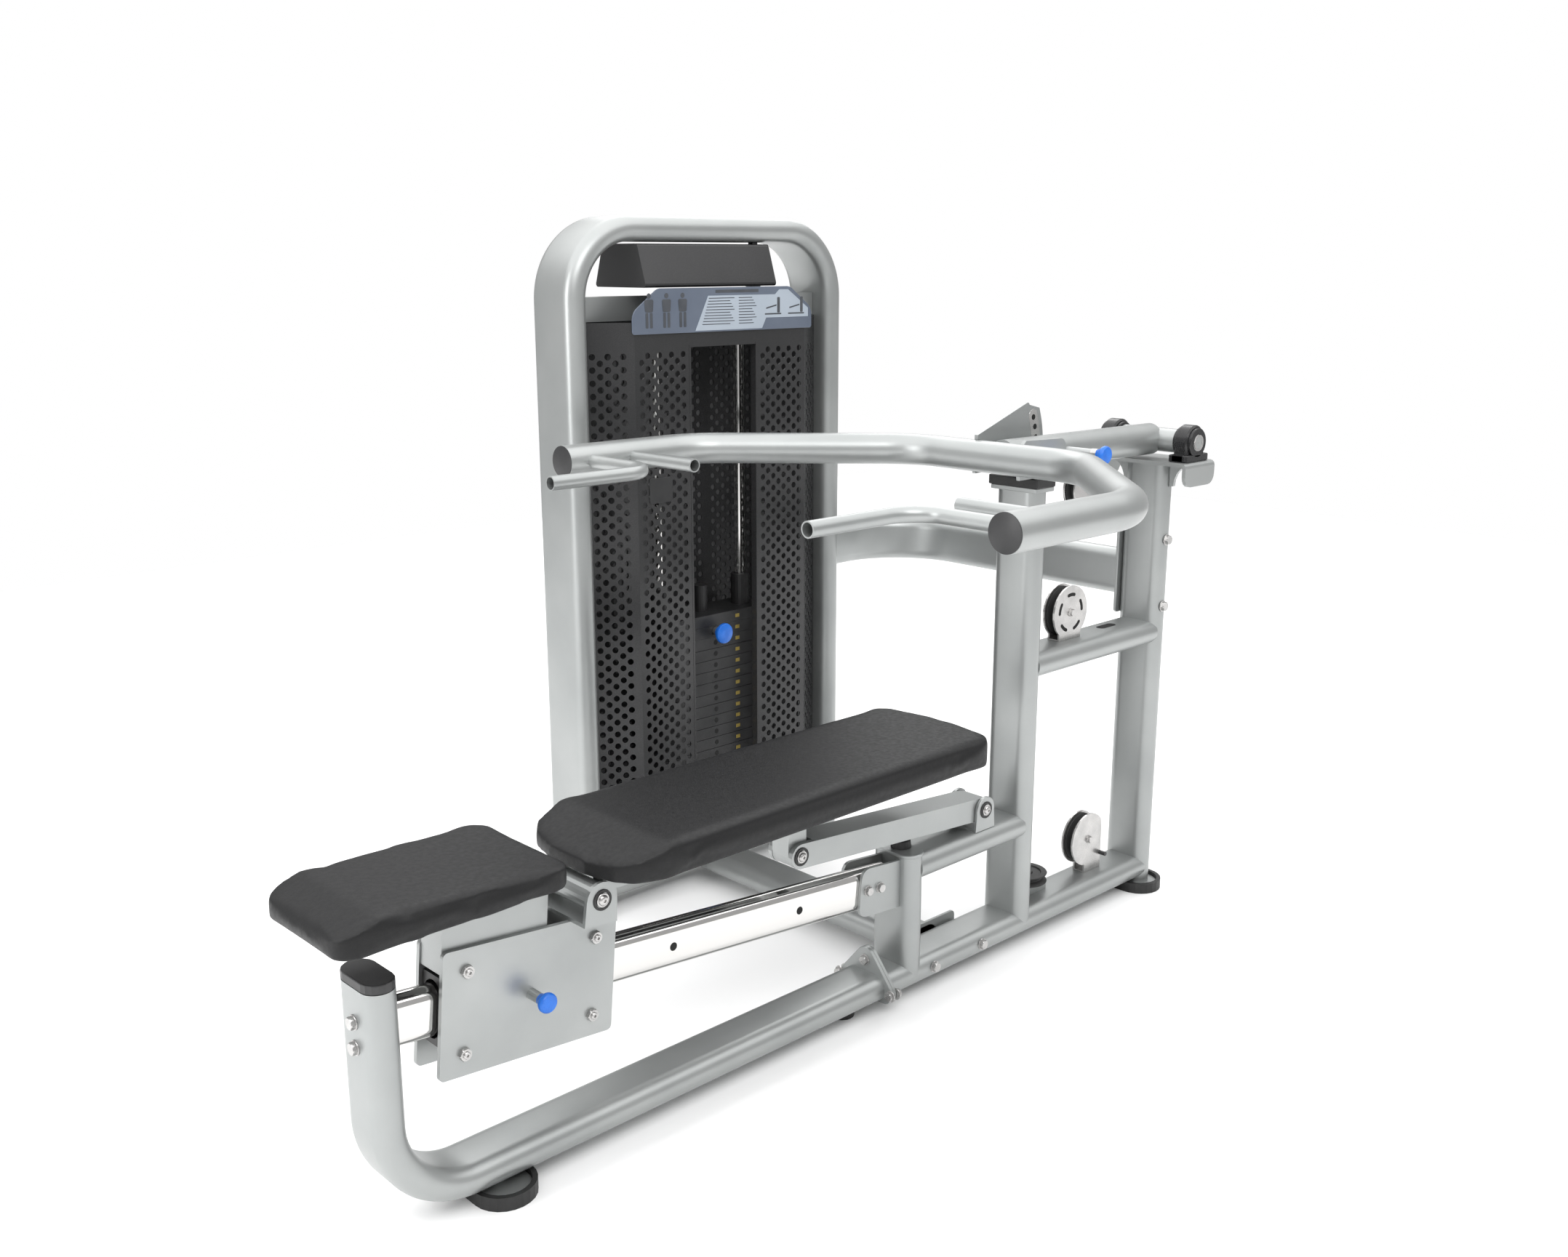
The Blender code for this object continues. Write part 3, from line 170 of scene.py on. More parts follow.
vinylSettings = {"dark": (0.0065, 0.0065, 0.007), "light": (0.010, 0.010, 0.0105), "cell": 560,
                 "crease": 130, "depth": 0.00016, "gloss": (0.44, 0.56), "specular": 0.30}


# Grained upholstery vinyl: small rounded cells for the grain, over slow creasing noise. The colour darkens
# towards the cell edges, which the bump sinks into grooves: painted shade in the grain.
def newVinyl(s):
    material = bpy.data.materials.new("pad_black")
    material.use_nodes = True
    tree = material.node_tree
    shader = tree.nodes["Principled BSDF"]
    shader.inputs["Specular IOR Level"].default_value = s["specular"]
    place = addNode(tree, "TexCoord")
    bend = addNode(tree, "TexNoise", {"Scale": s["crease"], "Detail": 3})
    cells = addNode(tree, "TexVoronoi", {"Scale": s["cell"]})
    cells.feature = "SMOOTH_F1"
    for texture in (bend, cells):
        tree.links.new(place.outputs["Object"], texture.inputs["Vector"])
    height = addNode(tree, "Math", {1: 0.9})
    height.operation = "MULTIPLY_ADD"
    tree.links.new(cells.outputs["Distance"], height.inputs[0])
    tree.links.new(bend.outputs["Fac"], height.inputs[2])
    bump = addNode(tree, "Bump", {"Strength": 0.75, "Distance": s["depth"]})
    bump.invert = True
    tree.links.new(height.outputs["Value"], bump.inputs["Height"])
    tree.links.new(bump.outputs["Normal"], shader.inputs["Normal"])
    # Lighter at the cell centres, darker at the cell edges where the grooves are: painted shade.
    tones = addNode(tree, "ValToRGB")
    tones.color_ramp.elements[0].color = (*s["light"], 1)
    tones.color_ramp.elements[1].color = (*s["dark"], 1)
    tree.links.new(cells.outputs["Distance"], tones.inputs["Fac"])
    tree.links.new(tones.outputs["Color"], shader.inputs["Base Color"])
    low, high = s["gloss"]
    gloss = addNode(tree, "MapRange", {"From Min": 0.3, "From Max": 0.7, "To Min": low, "To Max": high})
    tree.links.new(bend.outputs["Fac"], gloss.inputs["Value"])
    tree.links.new(gloss.outputs["Result"], shader.inputs["Roughness"])
    return material


finishes = {name: newFinish(name, s) for name, s in finishSettings.items()}
finishes["pad_black"] = newVinyl(vinylSettings)
for obj in nodes.values():
    for materialSlot in obj.material_slots:
        known = [name for name in finishes if materialSlot.material.name.endswith(name)]
        if known:
            materialSlot.material = finishes[known[0]]
nodes["hood"].material_slots[0].material = finishes["shroud_grey"]
print("finishes done")


# Rings of points carried in order and joined by quads; ends closed by flat caps, or joined into a loop.
def loft(rings, closing="caps"):
    rows, around = rings.shape[:2]
    index = np.arange(rows * around).reshape(rows, around)
    chain = np.vstack([index, index[:1]]) if closing == "loop" else index
    first, second = chain[:-1], chain[1:]
    quads = np.stack([first, np.roll(first, -1, 1), np.roll(second, -1, 1), second], -1)
    faces = quads.reshape(-1, 4).tolist()
    if closing == "caps":
        faces += [index[0][::-1].tolist(), index[-1].tolist()]
    return rings.reshape(-1, 3), faces


# Two half circles of the thin width, joined by straights: across, then along the wide side.
def ovalSection(thin, wide, steps=14):
    turn = np.linspace(-math.pi / 2, math.pi / 2, steps + 1)
    reach = (wide - thin) / 2
    right = np.stack([np.sin(turn) * thin / 2, reach + np.cos(turn) * thin / 2], -1)
    return np.vstack([right, -right])


# Evenly spaced points on a circle.
def roundSection(radius, steps=48):
    turn = np.linspace(0, 2 * math.pi, steps, endpoint=False)
    return np.stack([np.cos(turn), np.sin(turn)], -1) * radius


# Straight runs between corner points, each inner corner turned into an arc of the radius.
def filleted(corners, radius, steps=14):
    corners = np.array(corners, float)
    rows = [corners[:1]]
    radii = np.broadcast_to(radius, len(corners) - 2)
    for before, corner, after, bend in zip(corners[:-2], corners[1:-1], corners[2:], radii):
        back = (before - corner) / np.linalg.norm(before - corner)
        ahead = (after - corner) / np.linalg.norm(after - corner)
        inside = math.acos(np.clip(back @ ahead, -1, 1))
        middle = corner + (back + ahead) / np.linalg.norm(back + ahead) * bend / math.sin(inside / 2)
        start = corner + back * bend / math.tan(inside / 2) - middle
        end = corner + ahead * bend / math.tan(inside / 2) - middle
        sweep = math.pi - inside
        share = np.linspace(0, 1, steps + 1)[:, None]
        rows.append(middle + (np.sin((1 - share) * sweep) * start + np.sin(share * sweep) * end)
                    / math.sin(sweep))
    rows.append(corners[-1:])
    return np.vstack(rows)


# A section carried along a plane path: its first value square to the path, its second along side.
def carried(section, path, side):
    path = np.array(path, float)
    side = np.array(side, float)
    tangent = np.gradient(path, axis=0)
    tangent /= np.linalg.norm(tangent, axis=1)[:, None]
    across = np.cross(side, tangent)
    return path[:, None] + section[None, :, :1] * across[:, None] + section[None, :, 1:] * side


# A closed bar along a path, with a short taper at both ends where a bevel is given.
def tube(section, path, side, bevel=0.0):
    rings = carried(section, path, side)
    if bevel:
        centres = rings.mean(1, keepdims=True)
        first = centres[:1] + (rings[:1] - centres[:1]) * (1 - 2 * bevel / np.ptp(section[:, 0]))
        last = centres[-1:] + (rings[-1:] - centres[-1:]) * (1 - 2 * bevel / np.ptp(section[:, 0]))
        forward = (centres[1:2] - centres[:1]) / np.linalg.norm(centres[1] - centres[0])
        backward = (centres[-2:-1] - centres[-1:]) / np.linalg.norm(centres[-1] - centres[-2])
        rings = np.vstack(
            [first, rings[:1] + forward * bevel, rings[1:-1], rings[-1:] + backward * bevel, last])
    return loft(rings)


# A pipe: the outer skin runs out along the path and the bore runs back inside it.
def openTube(radius, wall, path, side):
    outer = carried(roundSection(radius, 40), path, side)
    inner = carried(roundSection(radius - wall, 40), path, side)
    return loft(np.vstack([outer, inner[::-1]]), "loop")


# Two unit directions square to an axis and to each other, and the axis itself.
def basis(axis):
    axis = np.array(axis, float)
    axis /= np.linalg.norm(axis)
    helper = np.array([0, 0, 1.0]) if abs(axis[2]) < 0.9 else np.array([1.0, 0, 0])
    u = np.cross(helper, axis)
    u /= np.linalg.norm(u)
    return u, np.cross(axis, u), axis


# Radius and height carried round an axis; a third value of 1 flattens that ring to a polygon.
def lathe(profile, origin, axis, around=48, closing="caps", sides=6):
    profile = np.array([tuple(row) + (0,) * (3 - len(row)) for row in profile], float)
    u, v, w = basis(axis)
    turn = np.linspace(0, 2 * math.pi, around, endpoint=False)
    wedge = 2 * math.pi / sides
    flat = math.cos(wedge / 2) / np.cos(np.mod(turn, wedge) - wedge / 2)
    reach = profile[:, :1] * (1 - profile[:, 2:] + profile[:, 2:] * flat[None])
    rings = (
        np.array(origin, float) + reach[..., None] * (np.cos(turn)[:, None] * u + np.sin(turn)[:, None] * v)
        + profile[:, 1][:, None, None] * w)
    return loft(rings, closing)


# A flat outline given depth along u x v, with its rim drawn in by the bevel on both faces.
def plate(outline, origin, u, v, depth, bevel=0.0008):
    outline = np.array(outline, float)
    u, v, origin = (np.array(row, float) for row in (u, v, origin))
    ahead = np.roll(outline, -1, 0) - outline
    ahead /= np.linalg.norm(ahead, axis=1)[:, None]
    normal = np.stack([ahead[:, 1], -ahead[:, 0]], -1)
    lean = normal + np.roll(normal, 1, 0)
    lean /= np.maximum((lean ** 2).sum(1, keepdims=True) / 2, 0.5)
    area = (outline[:, 0] * np.roll(outline[:, 1], -1) - np.roll(outline[:, 0], -1) * outline[:, 1]).sum()
    inner = outline - np.sign(area) * lean * bevel
    w = np.cross(u, v)
    layers = [(inner, -depth / 2), (outline, bevel - depth / 2), (outline, depth / 2 - bevel),
        (inner, depth / 2)]
    rings = np.stack(
        [origin + shape[:, :1] * u + shape[:, 1:] * v + height * w for shape, height in layers])
    return loft(rings)


# Points on a circle between two angles in degrees.
def arcPoints(cx, cz, radius, start, end, steps=24):
    turn = np.radians(np.linspace(start, end, steps + 1))
    return np.stack([cx + radius * np.cos(turn), cz + radius * np.sin(turn)], -1)


# A closed outline with every corner turned into an arc.
def roundedOutline(corners, radius, steps=8):
    corners = np.array(corners, float)
    closed = np.vstack([corners[-1:], corners, corners[:1]])
    flatCorners = np.hstack([closed, np.zeros((len(closed), 1))])
    return filleted(flatCorners, np.broadcast_to(radius, len(corners)), steps)[1:-1, :2]


# The four corners between two opposite ones, anticlockwise.
def oblong(x0, y0, x1, y1):
    return [(x0, y0), (x1, y0), (x1, y1), (x0, y1)]


xAxis, yAxis, zAxis = (1, 0, 0), (0, 1, 0), (0, 0, 1)
outY = np.array([0, -1.0, 0])  # towards the user's side of the bench


# Shells gathered in one mesh, with outward faces, hung on a body.
def newPiece(name, shells, slotName, body, replaced=(), finish=None, sharp=32):
    verts, faces, offset = [], [], 0
    for shellVerts, shellFaces in shells:
        verts.append(shellVerts)
        faces += [[k + offset for k in face] for face in shellFaces]
        offset += len(shellVerts)
    mesh = bpy.data.meshes.new(name)
    mesh.from_pydata(np.vstack(verts).tolist(), [], faces)
    shape = bmesh.new()
    shape.from_mesh(mesh)
    bmesh.ops.recalc_face_normals(shape, faces=shape.faces)
    shape.to_mesh(mesh)
    shape.free()
    mesh.shade_smooth()
    mesh.set_sharp_from_angle(angle=math.radians(sharp))
    obj = bpy.data.objects.new(name, mesh)
    bpy.context.scene.collection.objects.link(obj)
    mesh.materials.append(finishes[finish or slotName])
    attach(obj, body)
    if replaced:
        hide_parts(*replaced)
    return obj


tubes = {"thin": 0.050, "wide": 0.100, "postX": -1.859, "postTop": 0.400, "bend": 0.135, "baseZ": 0.050,
         "flangeX": -0.852, "shortX": -0.771, "shortTop": 0.290, "middleX": -0.4358, "middleTop": 0.9362,
         "rearTop": 0.9517, "upperZ": 0.262, "midZ": 0.588, "crossX": -0.6468, "sideZ": 0.707,
         "frontFootX": -1.675}
towerDims = {"x": -0.640, "y": 0.716, "half": 0.3505, "thin": 0.050, "wide": 0.135, "top": 1.424,
    "bend": 0.140}
oval = ovalSection(tubes["thin"], tubes["wide"])


# Three rounded corners, wide at the foot: the bolted joint in the floor beam.
def flangeOutline():
    return roundedOutline([(-0.093, 0.024), (0.093, 0.024), (0.0, 0.134)], 0.022)


# Metal plate inside a rubber foot, an oblong with domed rim.
def footDisc(x):
    return plate(ovalSection(2 * 0.0418, 2 * 0.0684), (x, 0, 0.0125), xAxis, yAxis, 0.004)


# Floor beam and front post in one bent tube, with its joint flange and its foot.
frontPath = filleted([(tubes["postX"], 0, tubes["postTop"]), (tubes["postX"], 0, tubes["baseZ"]),
                      (tubes["flangeX"] - 0.003, 0, tubes["baseZ"])], tubes["bend"], 28)
newPiece("frontTube",
    [tube(oval, frontPath, yAxis),
     plate(flangeOutline(), (tubes["flangeX"] - 0.0035, 0, 0), yAxis, zAxis, 0.0066),
     lathe([(0.021, 0.0115), (0.021, 0.040)], (tubes["frontFootX"], 0, 0), zAxis),
     footDisc(tubes["frontFootX"])],
    "frame_silver", "frame", ["front_frame"])
newPiece("rearBaseTube",
    [tube(oval, [(tubes["flangeX"] + 0.003, 0, tubes["baseZ"]), (-0.006, 0, tubes["baseZ"])], yAxis),
     plate(flangeOutline(), (tubes["flangeX"] + 0.0035, 0, 0), yAxis, zAxis, 0.0066),
     plate(oblong(-0.377, 0.0, -0.305, 0.044), (0, 0, 0.0793), xAxis, yAxis, 0.0385)],
    "frame_silver", "frame", ["rear_base"])
newPiece("shortPostTube",
    [tube(oval, [(tubes["shortX"], 0, 0.0505), (tubes["shortX"], 0, tubes["shortTop"])], yAxis),
     plate(ovalSection(0.055, 0.105), (tubes["shortX"], 0, tubes["shortTop"] + 0.0029), xAxis, yAxis, 0.006,
         0.0012)],
    "frame_silver", "frame", ["short_post"])
newPiece("middleColumnTube",
    [tube(oval, [(tubes["middleX"], 0, 0.0505), (tubes["middleX"], 0, tubes["middleTop"])], yAxis),
     plate(roundedOutline(oblong(-0.029, -0.055, 0.029, 0.055), 0.004),
         (tubes["middleX"], 0, tubes["middleTop"] + 0.0038), xAxis, yAxis, 0.0084)],
    "frame_silver", "frame", ["middle_column"])
newPiece("rearColumnTube", [tube(oval, [(0, 0, 0.0125), (0, 0, tubes["rearTop"])], yAxis), footDisc(0.0)],
    "frame_silver", "frame", ["rear_column"])

# Tube between short post and middle column, and the clevis that holds the link.
clevis = {"x": -0.5615, "z": 0.3260, "half": 0.0285, "cheekY": 0.0339, "thick": 0.0066, "round": 0.026}
clevisSeat = tubes["upperZ"] + tubes["thin"] / 2 - 0.002
cheekOutline = np.vstack(
    [[(-clevis["half"], clevisSeat), (clevis["half"], clevisSeat)],
     arcPoints(0, clevis["z"], clevis["round"], -10, 190)])
upperShells = [
    tube(oval,
        [(tubes["shortX"] + 0.012, 0, tubes["upperZ"]), (tubes["middleX"] - 0.012, 0, tubes["upperZ"])],
        yAxis)]
for side in (-1, 1):
    upperShells.append(
        plate(cheekOutline, (clevis["x"], side * clevis["cheekY"], 0), xAxis, zAxis, clevis["thick"]))
upperShells.append(
    plate(oblong(-clevis["half"], -0.034, clevis["half"], 0.034), (clevis["x"], 0, clevisSeat + 0.0035),
        xAxis, yAxis, 0.007))
newPiece("upperTube", upperShells, "frame_silver", "frame", ["upper_tube"])
newPiece("midTube",
    [tube(oval, [(tubes["middleX"] + 0.012, 0, tubes["midZ"]), (-0.012, 0, tubes["midZ"])], yAxis)],
    "frame_silver", "frame", ["mid_tube"])
# Slots on top and bottom of the mid tube, drawn as thin dark plates instead of cut: painted shade.
slotOutline = ovalSection(0.020, 0.056)[:, ::-1]
newPiece("cableSlot",
    [plate(slotOutline, (-0.125, 0.005, tubes["midZ"] + side * 0.0251), xAxis, yAxis, 0.0004, 0.0001)
     for side in (-1, 1)],
    "plastic_dark", "frame", finish="holeShade")

# The two tubes that run to the tower, each ending in a flange on the bench frame.
crossStart = tubes["wide"] / 2 + 0.0003
newPiece("crossTube",
    [tube(oval[:, ::-1],
         [(tubes["crossX"], crossStart, tubes["baseZ"]),
          (tubes["crossX"], towerDims["y"] - 0.047, tubes["baseZ"])],
         zAxis),
     plate(roundedOutline(oblong(-0.105, -0.020, 0.105, 0.033), 0.010),
         (tubes["crossX"], crossStart + 0.003, tubes["baseZ"]), xAxis, zAxis, 0.006)],
    "frame_silver", "frame", ["cross_tube"])
sidePath = filleted(
    [(0, crossStart + 0.003, tubes["sideZ"]), (0, towerDims["y"], tubes["sideZ"]),
     (towerDims["x"] + towerDims["half"] + 0.0253, towerDims["y"], tubes["sideZ"])],
    0.180, 28)
newPiece("sideTube",
    [tube(oval, sidePath, zAxis),
     plate(roundedOutline(oblong(-0.026, -0.105, 0.026, 0.105), 0.008),
         (0, crossStart + 0.003, tubes["sideZ"] + 0.017), xAxis, zAxis, 0.006)],
    "frame_silver", "frame", ["side_tube"])

# Tower: an upside-down U and its base.
left = towerDims["x"] - towerDims["half"]
right = towerDims["x"] + towerDims["half"]
towerPath = filleted([(left, towerDims["y"], 0.0215), (left, towerDims["y"], towerDims["top"]),
                      (right, towerDims["y"], towerDims["top"]), (right, towerDims["y"], 0.0215)],
                     towerDims["bend"], 30)
newPiece("towerLoop", [tube(ovalSection(towerDims["thin"], towerDims["wide"], 18), towerPath, yAxis)],
    "frame_silver", "frame", ["tower_frame"])
newPiece("towerBaseTube",
    [tube(oval,
         [(left + 0.010, towerDims["y"], tubes["baseZ"]), (right - 0.010, towerDims["y"], tubes["baseZ"])],
         yAxis)],
    "frame_silver", "frame", ["tower_base"])
print("frame tubes done")


# The arm is one bent tube; the grips are open pipes let into it.
arm = {"r": 0.030, "hingeX": -0.5185, "y": 0.513, "endX": -1.1406, "cornerX": -0.8318, "crossY": 0.200,
       "z": 1.0035, "bend": 0.150, "grip": 0.0125, "gripZ": 1.003, "leverR": 0.0325, "pivotZ": 0.9985,
       "holeR": 0.180}
armCorners = [(arm["endX"], -arm["y"]), (arm["cornerX"], -arm["y"]), (arm["hingeX"], -arm["crossY"]),
              (arm["hingeX"], arm["crossY"]), (arm["cornerX"], arm["y"]), (arm["endX"], arm["y"])]
armPath = filleted([(x, y, arm["z"]) for x, y in armCorners], arm["bend"], 20)
newPiece("pressArmTube", [tube(roundSection(arm["r"], 64), armPath, zAxis)], "frame_silver", "press_frame",
    ["press_frame"])
newPiece("pressArmCaps",
    [lathe([(0.0286, -0.0012), (0.0294, -0.0008), (0.0294, 0.002)],
         (arm["endX"], side * arm["y"], arm["z"]), xAxis, 64)
     for side in (-1, 1)],
    "plastic_dark", "press_frame")
for side, word in ((-1, "near"), (1, "far")):
    root = side * (arm["y"] - arm["r"] + 0.004)
    straight = [(-0.995, root, arm["gripZ"]), (-0.995, side * 0.310, arm["gripZ"])]
    bent = filleted([(-1.090, root, arm["gripZ"]), (-1.090, side * 0.305, arm["gripZ"]),
                     (-1.314, side * 0.305, arm["gripZ"])], 0.060, 16)
    newPiece(word + "RearGrip", [openTube(arm["grip"], 0.0022, straight, zAxis)], "frame_silver",
        "press_frame", [word + "_rear_handle"])
    newPiece(word + "FrontGrip", [openTube(arm["grip"], 0.0022, bent, zAxis)], "frame_silver",
        "press_frame", [word + "_front_handle"])
    # Dark plugs a little inside each open grip end: painted shade in the bore.
    newPiece(word + "GripBores",
        [lathe([(0.0101, -0.004), (0.0101, 0.004)], (-0.995, side * 0.335, arm["gripZ"]), yAxis),
         lathe([(0.0101, -0.004), (0.0101, 0.004)], (-1.285, side * 0.305, arm["gripZ"]), xAxis)],
        "plastic_dark", "press_frame", finish="holeShade")

pinX = arm["hingeX"] + arm["holeR"]
newPiece("pressLeverTube",
    [tube(roundSection(arm["leverR"], 64),
         [(-0.010, 0, arm["pivotZ"] + 0.0005), (arm["hingeX"] + 0.018, 0, arm["z"])], yAxis),
     lathe(
         [(0.0155, -0.112), (0.0170, -0.111), (0.0170, -0.068), (0.0235, -0.068), (0.0245, -0.067),
          (0.0245, 0.067), (0.0235, 0.068), (0.0170, 0.068), (0.0170, 0.111), (0.0155, 0.112)],
         (0, 0, arm["pivotZ"]), yAxis, 56),
     lathe([(0.0066, -0.088), (0.0089, -0.088), (0.0095, -0.0874), (0.0095, -0.020), (0.0066, -0.020)],
         (pinX, 0, arm["z"]), yAxis, 40, "loop")],
    "frame_silver", "press_lever", ["press_lever"])

# Both plates are cut out round the arm tube, and the start holes lie on an arc about its axis.
sector = {"y": 0.050, "thick": 0.008, "outer": 0.204, "stripOuter": 0.1935, "stripInner": 0.1660,
          "hole": 0.0056, "turns": (0, 6.7, 13.5, 19.8)}  # start positions in degrees
stop = {"y": -0.0463, "thick": 0.008}
armHinge = np.array([arm["hingeX"], arm["z"]])
tubeBack = arcPoints(0, 0, arm["r"] + 0.0002, -98, 90, 32)
sectorOutline = np.vstack(
    [tubeBack, [(0.0, 0.0390)], arcPoints(0.1500, 0.0830, 0.0075, 118, 20, 8),
     arcPoints(0, 0, sector["outer"], 22.5, -4, 16),
     [(0.150, -0.0185), (0.118, 0.0), (0.046, -0.004), (0.034, -0.0330), (-0.004, -0.0335)]])
newPiece("sectorPlate",
    [plate(sectorOutline + armHinge, (0, sector["y"], 0), xAxis, zAxis, sector["thick"], 0.0006)],
    "frame_silver", "press_frame", ["sector_plate"])
strip = np.vstack(
    [arcPoints(0, 0, sector["stripOuter"], -3, 21, 16),
     arcPoints(0.1690, 0.0628, 0.0140, 25, 200, 12)[1:-1],
     arcPoints(0, 0, sector["stripInner"], 19, -3, 16)])
newPiece("sectorStrip",
    [plate(strip + armHinge, (0, sector["y"] - 0.0041, 0), xAxis, zAxis, 0.0006, 0.0002)], "frame_silver",
    "press_frame", finish="zinc")
turns = np.radians(sector["turns"])
# The start holes are thin dark discs on both faces instead of cut: painted shade.
newPiece("sectorHoles",
    [plate(roundSection(sector["hole"], 32)
         + armHinge + arm["holeR"] * np.array([math.cos(a), math.sin(a)]), (0, sector["y"] + side, 0),
         xAxis, zAxis, 0.0003, 0.0001)
     for a in turns for side in (-0.0045, 0.0041)],
    "frame_silver", "press_frame", finish="holeShade")
stopOutline = np.vstack(
    [arcPoints(0, 0, arm["r"] + 0.0006, -78, 60, 28), [(0.024, 0.0345)],
     roundedOutline([(0.030, -0.0390), (0.1485, -0.0390), (0.1485, 0.0300), (0.030, 0.0345)],
         [0.0001, 0.018, 0.018, 0.0001], 10)[11:-11][::-1],
     [(0.008, -0.0390)]])
newPiece("stopPlate",
    [plate(stopOutline + armHinge, (0, stop["y"], 0), xAxis, zAxis, stop["thick"], 0.0006)], "frame_silver",
    "press_lever", ["stop_plate"])
print("press arm done")


knobs = {"carriage": {"radius": 0.0155, "stem": 0.0080}, "start": {"radius": 0.0175, "stem": 0.0255},
         "selector": {"radius": 0.0225, "stem": 0.0240}}  # stem is how far the knob stands out


# A turned pull knob: domed face, rounded rim, and a waisted neck on its threaded collar.
def knobShells(which, origin):
    radius, stem = knobs[which]["radius"], knobs[which]["stem"]
    head = [(0.3 * radius, stem + 0.0102), (0.86 * radius, stem + 0.0095), (0.96 * radius, stem + 0.0080),
            (radius, stem + 0.0058), (radius, stem + 0.0022), (0.93 * radius, stem - 0.0004),
            (0.62 * radius, stem - 0.0072), (0.56 * radius, stem - 0.0090), (0.56 * radius, stem - 0.012)]
    return [lathe(head, origin, outY, 56)]


slide = {"tilt": 5.1, "middle": (-1.618, 0.0, 0.310), "barrel": (0.0275, 0.008, 0.0285)}
railTurn = math.radians(slide["tilt"])
railDir = np.array([math.cos(railTurn), 0, -math.sin(railTurn)])
railUp = np.array([math.sin(railTurn), 0, math.cos(railTurn)])
carriageMid = np.array(slide["middle"])
barrelEnd = -sum(slide["barrel"])  # half width of the carriage, its plate, then the barrel
newPiece("carriageKnob", knobShells("carriage", carriageMid + (0, barrelEnd, 0)), "knob_blue",
    "carriage_knob", ["carriage_pin"])
newPiece("carriagePinRod",
    [lathe([(0.0050, -0.042), (0.0055, -0.041), (0.0055, 0.002), (0.0050, 0.002)],
         carriageMid + (0, barrelEnd, 0), outY, 32)],
    "zinc", "carriage_knob")
newPiece("startKnob", knobShells("start", (pinX, -0.088, arm["z"])), "knob_blue", "start_knob",
    ["start_pin"])
newPiece("startPinRod",
    [lathe([(0.0055, -0.132), (0.0060, -0.131), (0.0060, 0.0), (0.0105, 0.0012), (0.0105, 0.0140)],
         (pinX, -0.088, arm["z"]), outY, 32)],
    "zinc", "start_knob")
stack = {"top": 0.610, "pitch": 0.0255, "count": 18, "y0": 0.666}
selectorZ = stack["top"] - 1.5 * stack["pitch"]
newPiece("selectorKnob", knobShells("selector", (towerDims["x"], 0.6655, selectorZ)), "knob_blue",
    "selector", ["selector_pin"])
newPiece("selectorRod",
    [lathe([(0.0046, -0.062), (0.0050, -0.060), (0.0050, 0.0), (0.010, 0.0005), (0.011, 0.0130)],
         (towerDims["x"], 0.6655, selectorZ), outY, 32)],
    "zinc", "selector")
print("knobs done")


boltSizes = {  # radius over the corners, height, washer radius, and length of thread beyond
    "post": (0.0098, 0.0068, 0.0112, 0), "flange": (0.0092, 0.0062, 0.0110, 0),
    "flangeNut": (0.0092, 0.0070, 0.0110, 0.004), "cross": (0.0098, 0.0066, 0.0115, 0),
    "side": (0.0102, 0.0072, 0.0120, 0), "sideNut": (0.0102, 0.0078, 0.0120, 0.004),
    "axle": (0.0072, 0.0052, 0.0086, 0), "guard": (0.0062, 0.0046, 0.0078, 0),
    "rail": (0.0086, 0.0058, 0.0100, 0),
}
boltPlaces = {"postZ": (0.348, 0.3095), "flangeYZ": ((-0.065, 0.046), (0.0, 0.097), (0.065, 0.050)),
    "crossX": (-0.718, -0.576), "sideZ": (0.789, 0.6455), "plateS": (-0.113, 0.113),
    "plateN": (-0.063, 0.063)}


# A washer, a hexagon whose corners are chamfered to a round top, and a domed thread end.
def boltShells(origin, axis, size):
    radius, height, washer, stub = boltSizes[size]
    shells = [lathe([(washer, 0), (washer, 0.0014), (washer - 0.0005, 0.0018)], origin, axis, 48),
        lathe(
            [(radius, 0.0016, 1), (radius, 0.0016 + height * 0.8, 1), (radius * 0.86, 0.0016 + height, 0),
             (radius * 0.55, 0.0016 + height, 0)],
            origin, axis, 48)]
    if stub:
        shells.append(
            lathe(
                [(radius * 0.55, height), (radius * 0.55, height + stub * 0.8),
                 (radius * 0.45, height + stub)],
                origin, axis, 32))
    return shells


bolts = []
for z in boltPlaces["postZ"]:
    bolts += boltShells((tubes["postX"] - 0.0252, 0, z), (-1, 0, 0), "post")
for y, z in boltPlaces["flangeYZ"]:
    bolts += boltShells((tubes["flangeX"] - 0.0070, y, z), (-1, 0, 0), "flange")
    bolts += boltShells((tubes["flangeX"] + 0.0070, y, z), (1, 0, 0), "flangeNut")
for x in boltPlaces["crossX"]:
    bolts += boltShells((x, -0.0500, 0.053), outY, "cross")
for z in boltPlaces["sideZ"]:
    bolts += boltShells((0, -0.0500, z), outY, "side")
    bolts += boltShells((0, 0.0564, z), (0, 1, 0), "sideNut")
newPiece("frameBolts", bolts, "zinc", "frame")

nuts = []
for s in boltPlaces["plateS"]:
    for n in boltPlaces["plateN"]:
        for side in (-1, 1):
            at = carriageMid + railDir * s + railUp * n + np.array([0, side * 0.0356, 0])
            nuts.append(
                lathe([(0.0104, 0, 1), (0.0104, 0.0052, 1), (0.0090, 0.0064, 0), (0.0058, 0.0064, 0)], at,
                    (0, side, 0), 48))
            nuts.append(
                lathe(
                    [(0.0056, 0.004), (0.0056, 0.0085), (0.0046, 0.0094), (0.0026, 0.0095, 1),
                     (0.0024, 0.0075, 1)],
                    at, (0, side, 0), 48))
newPiece("carriageNuts", nuts, "zinc", "carriage")


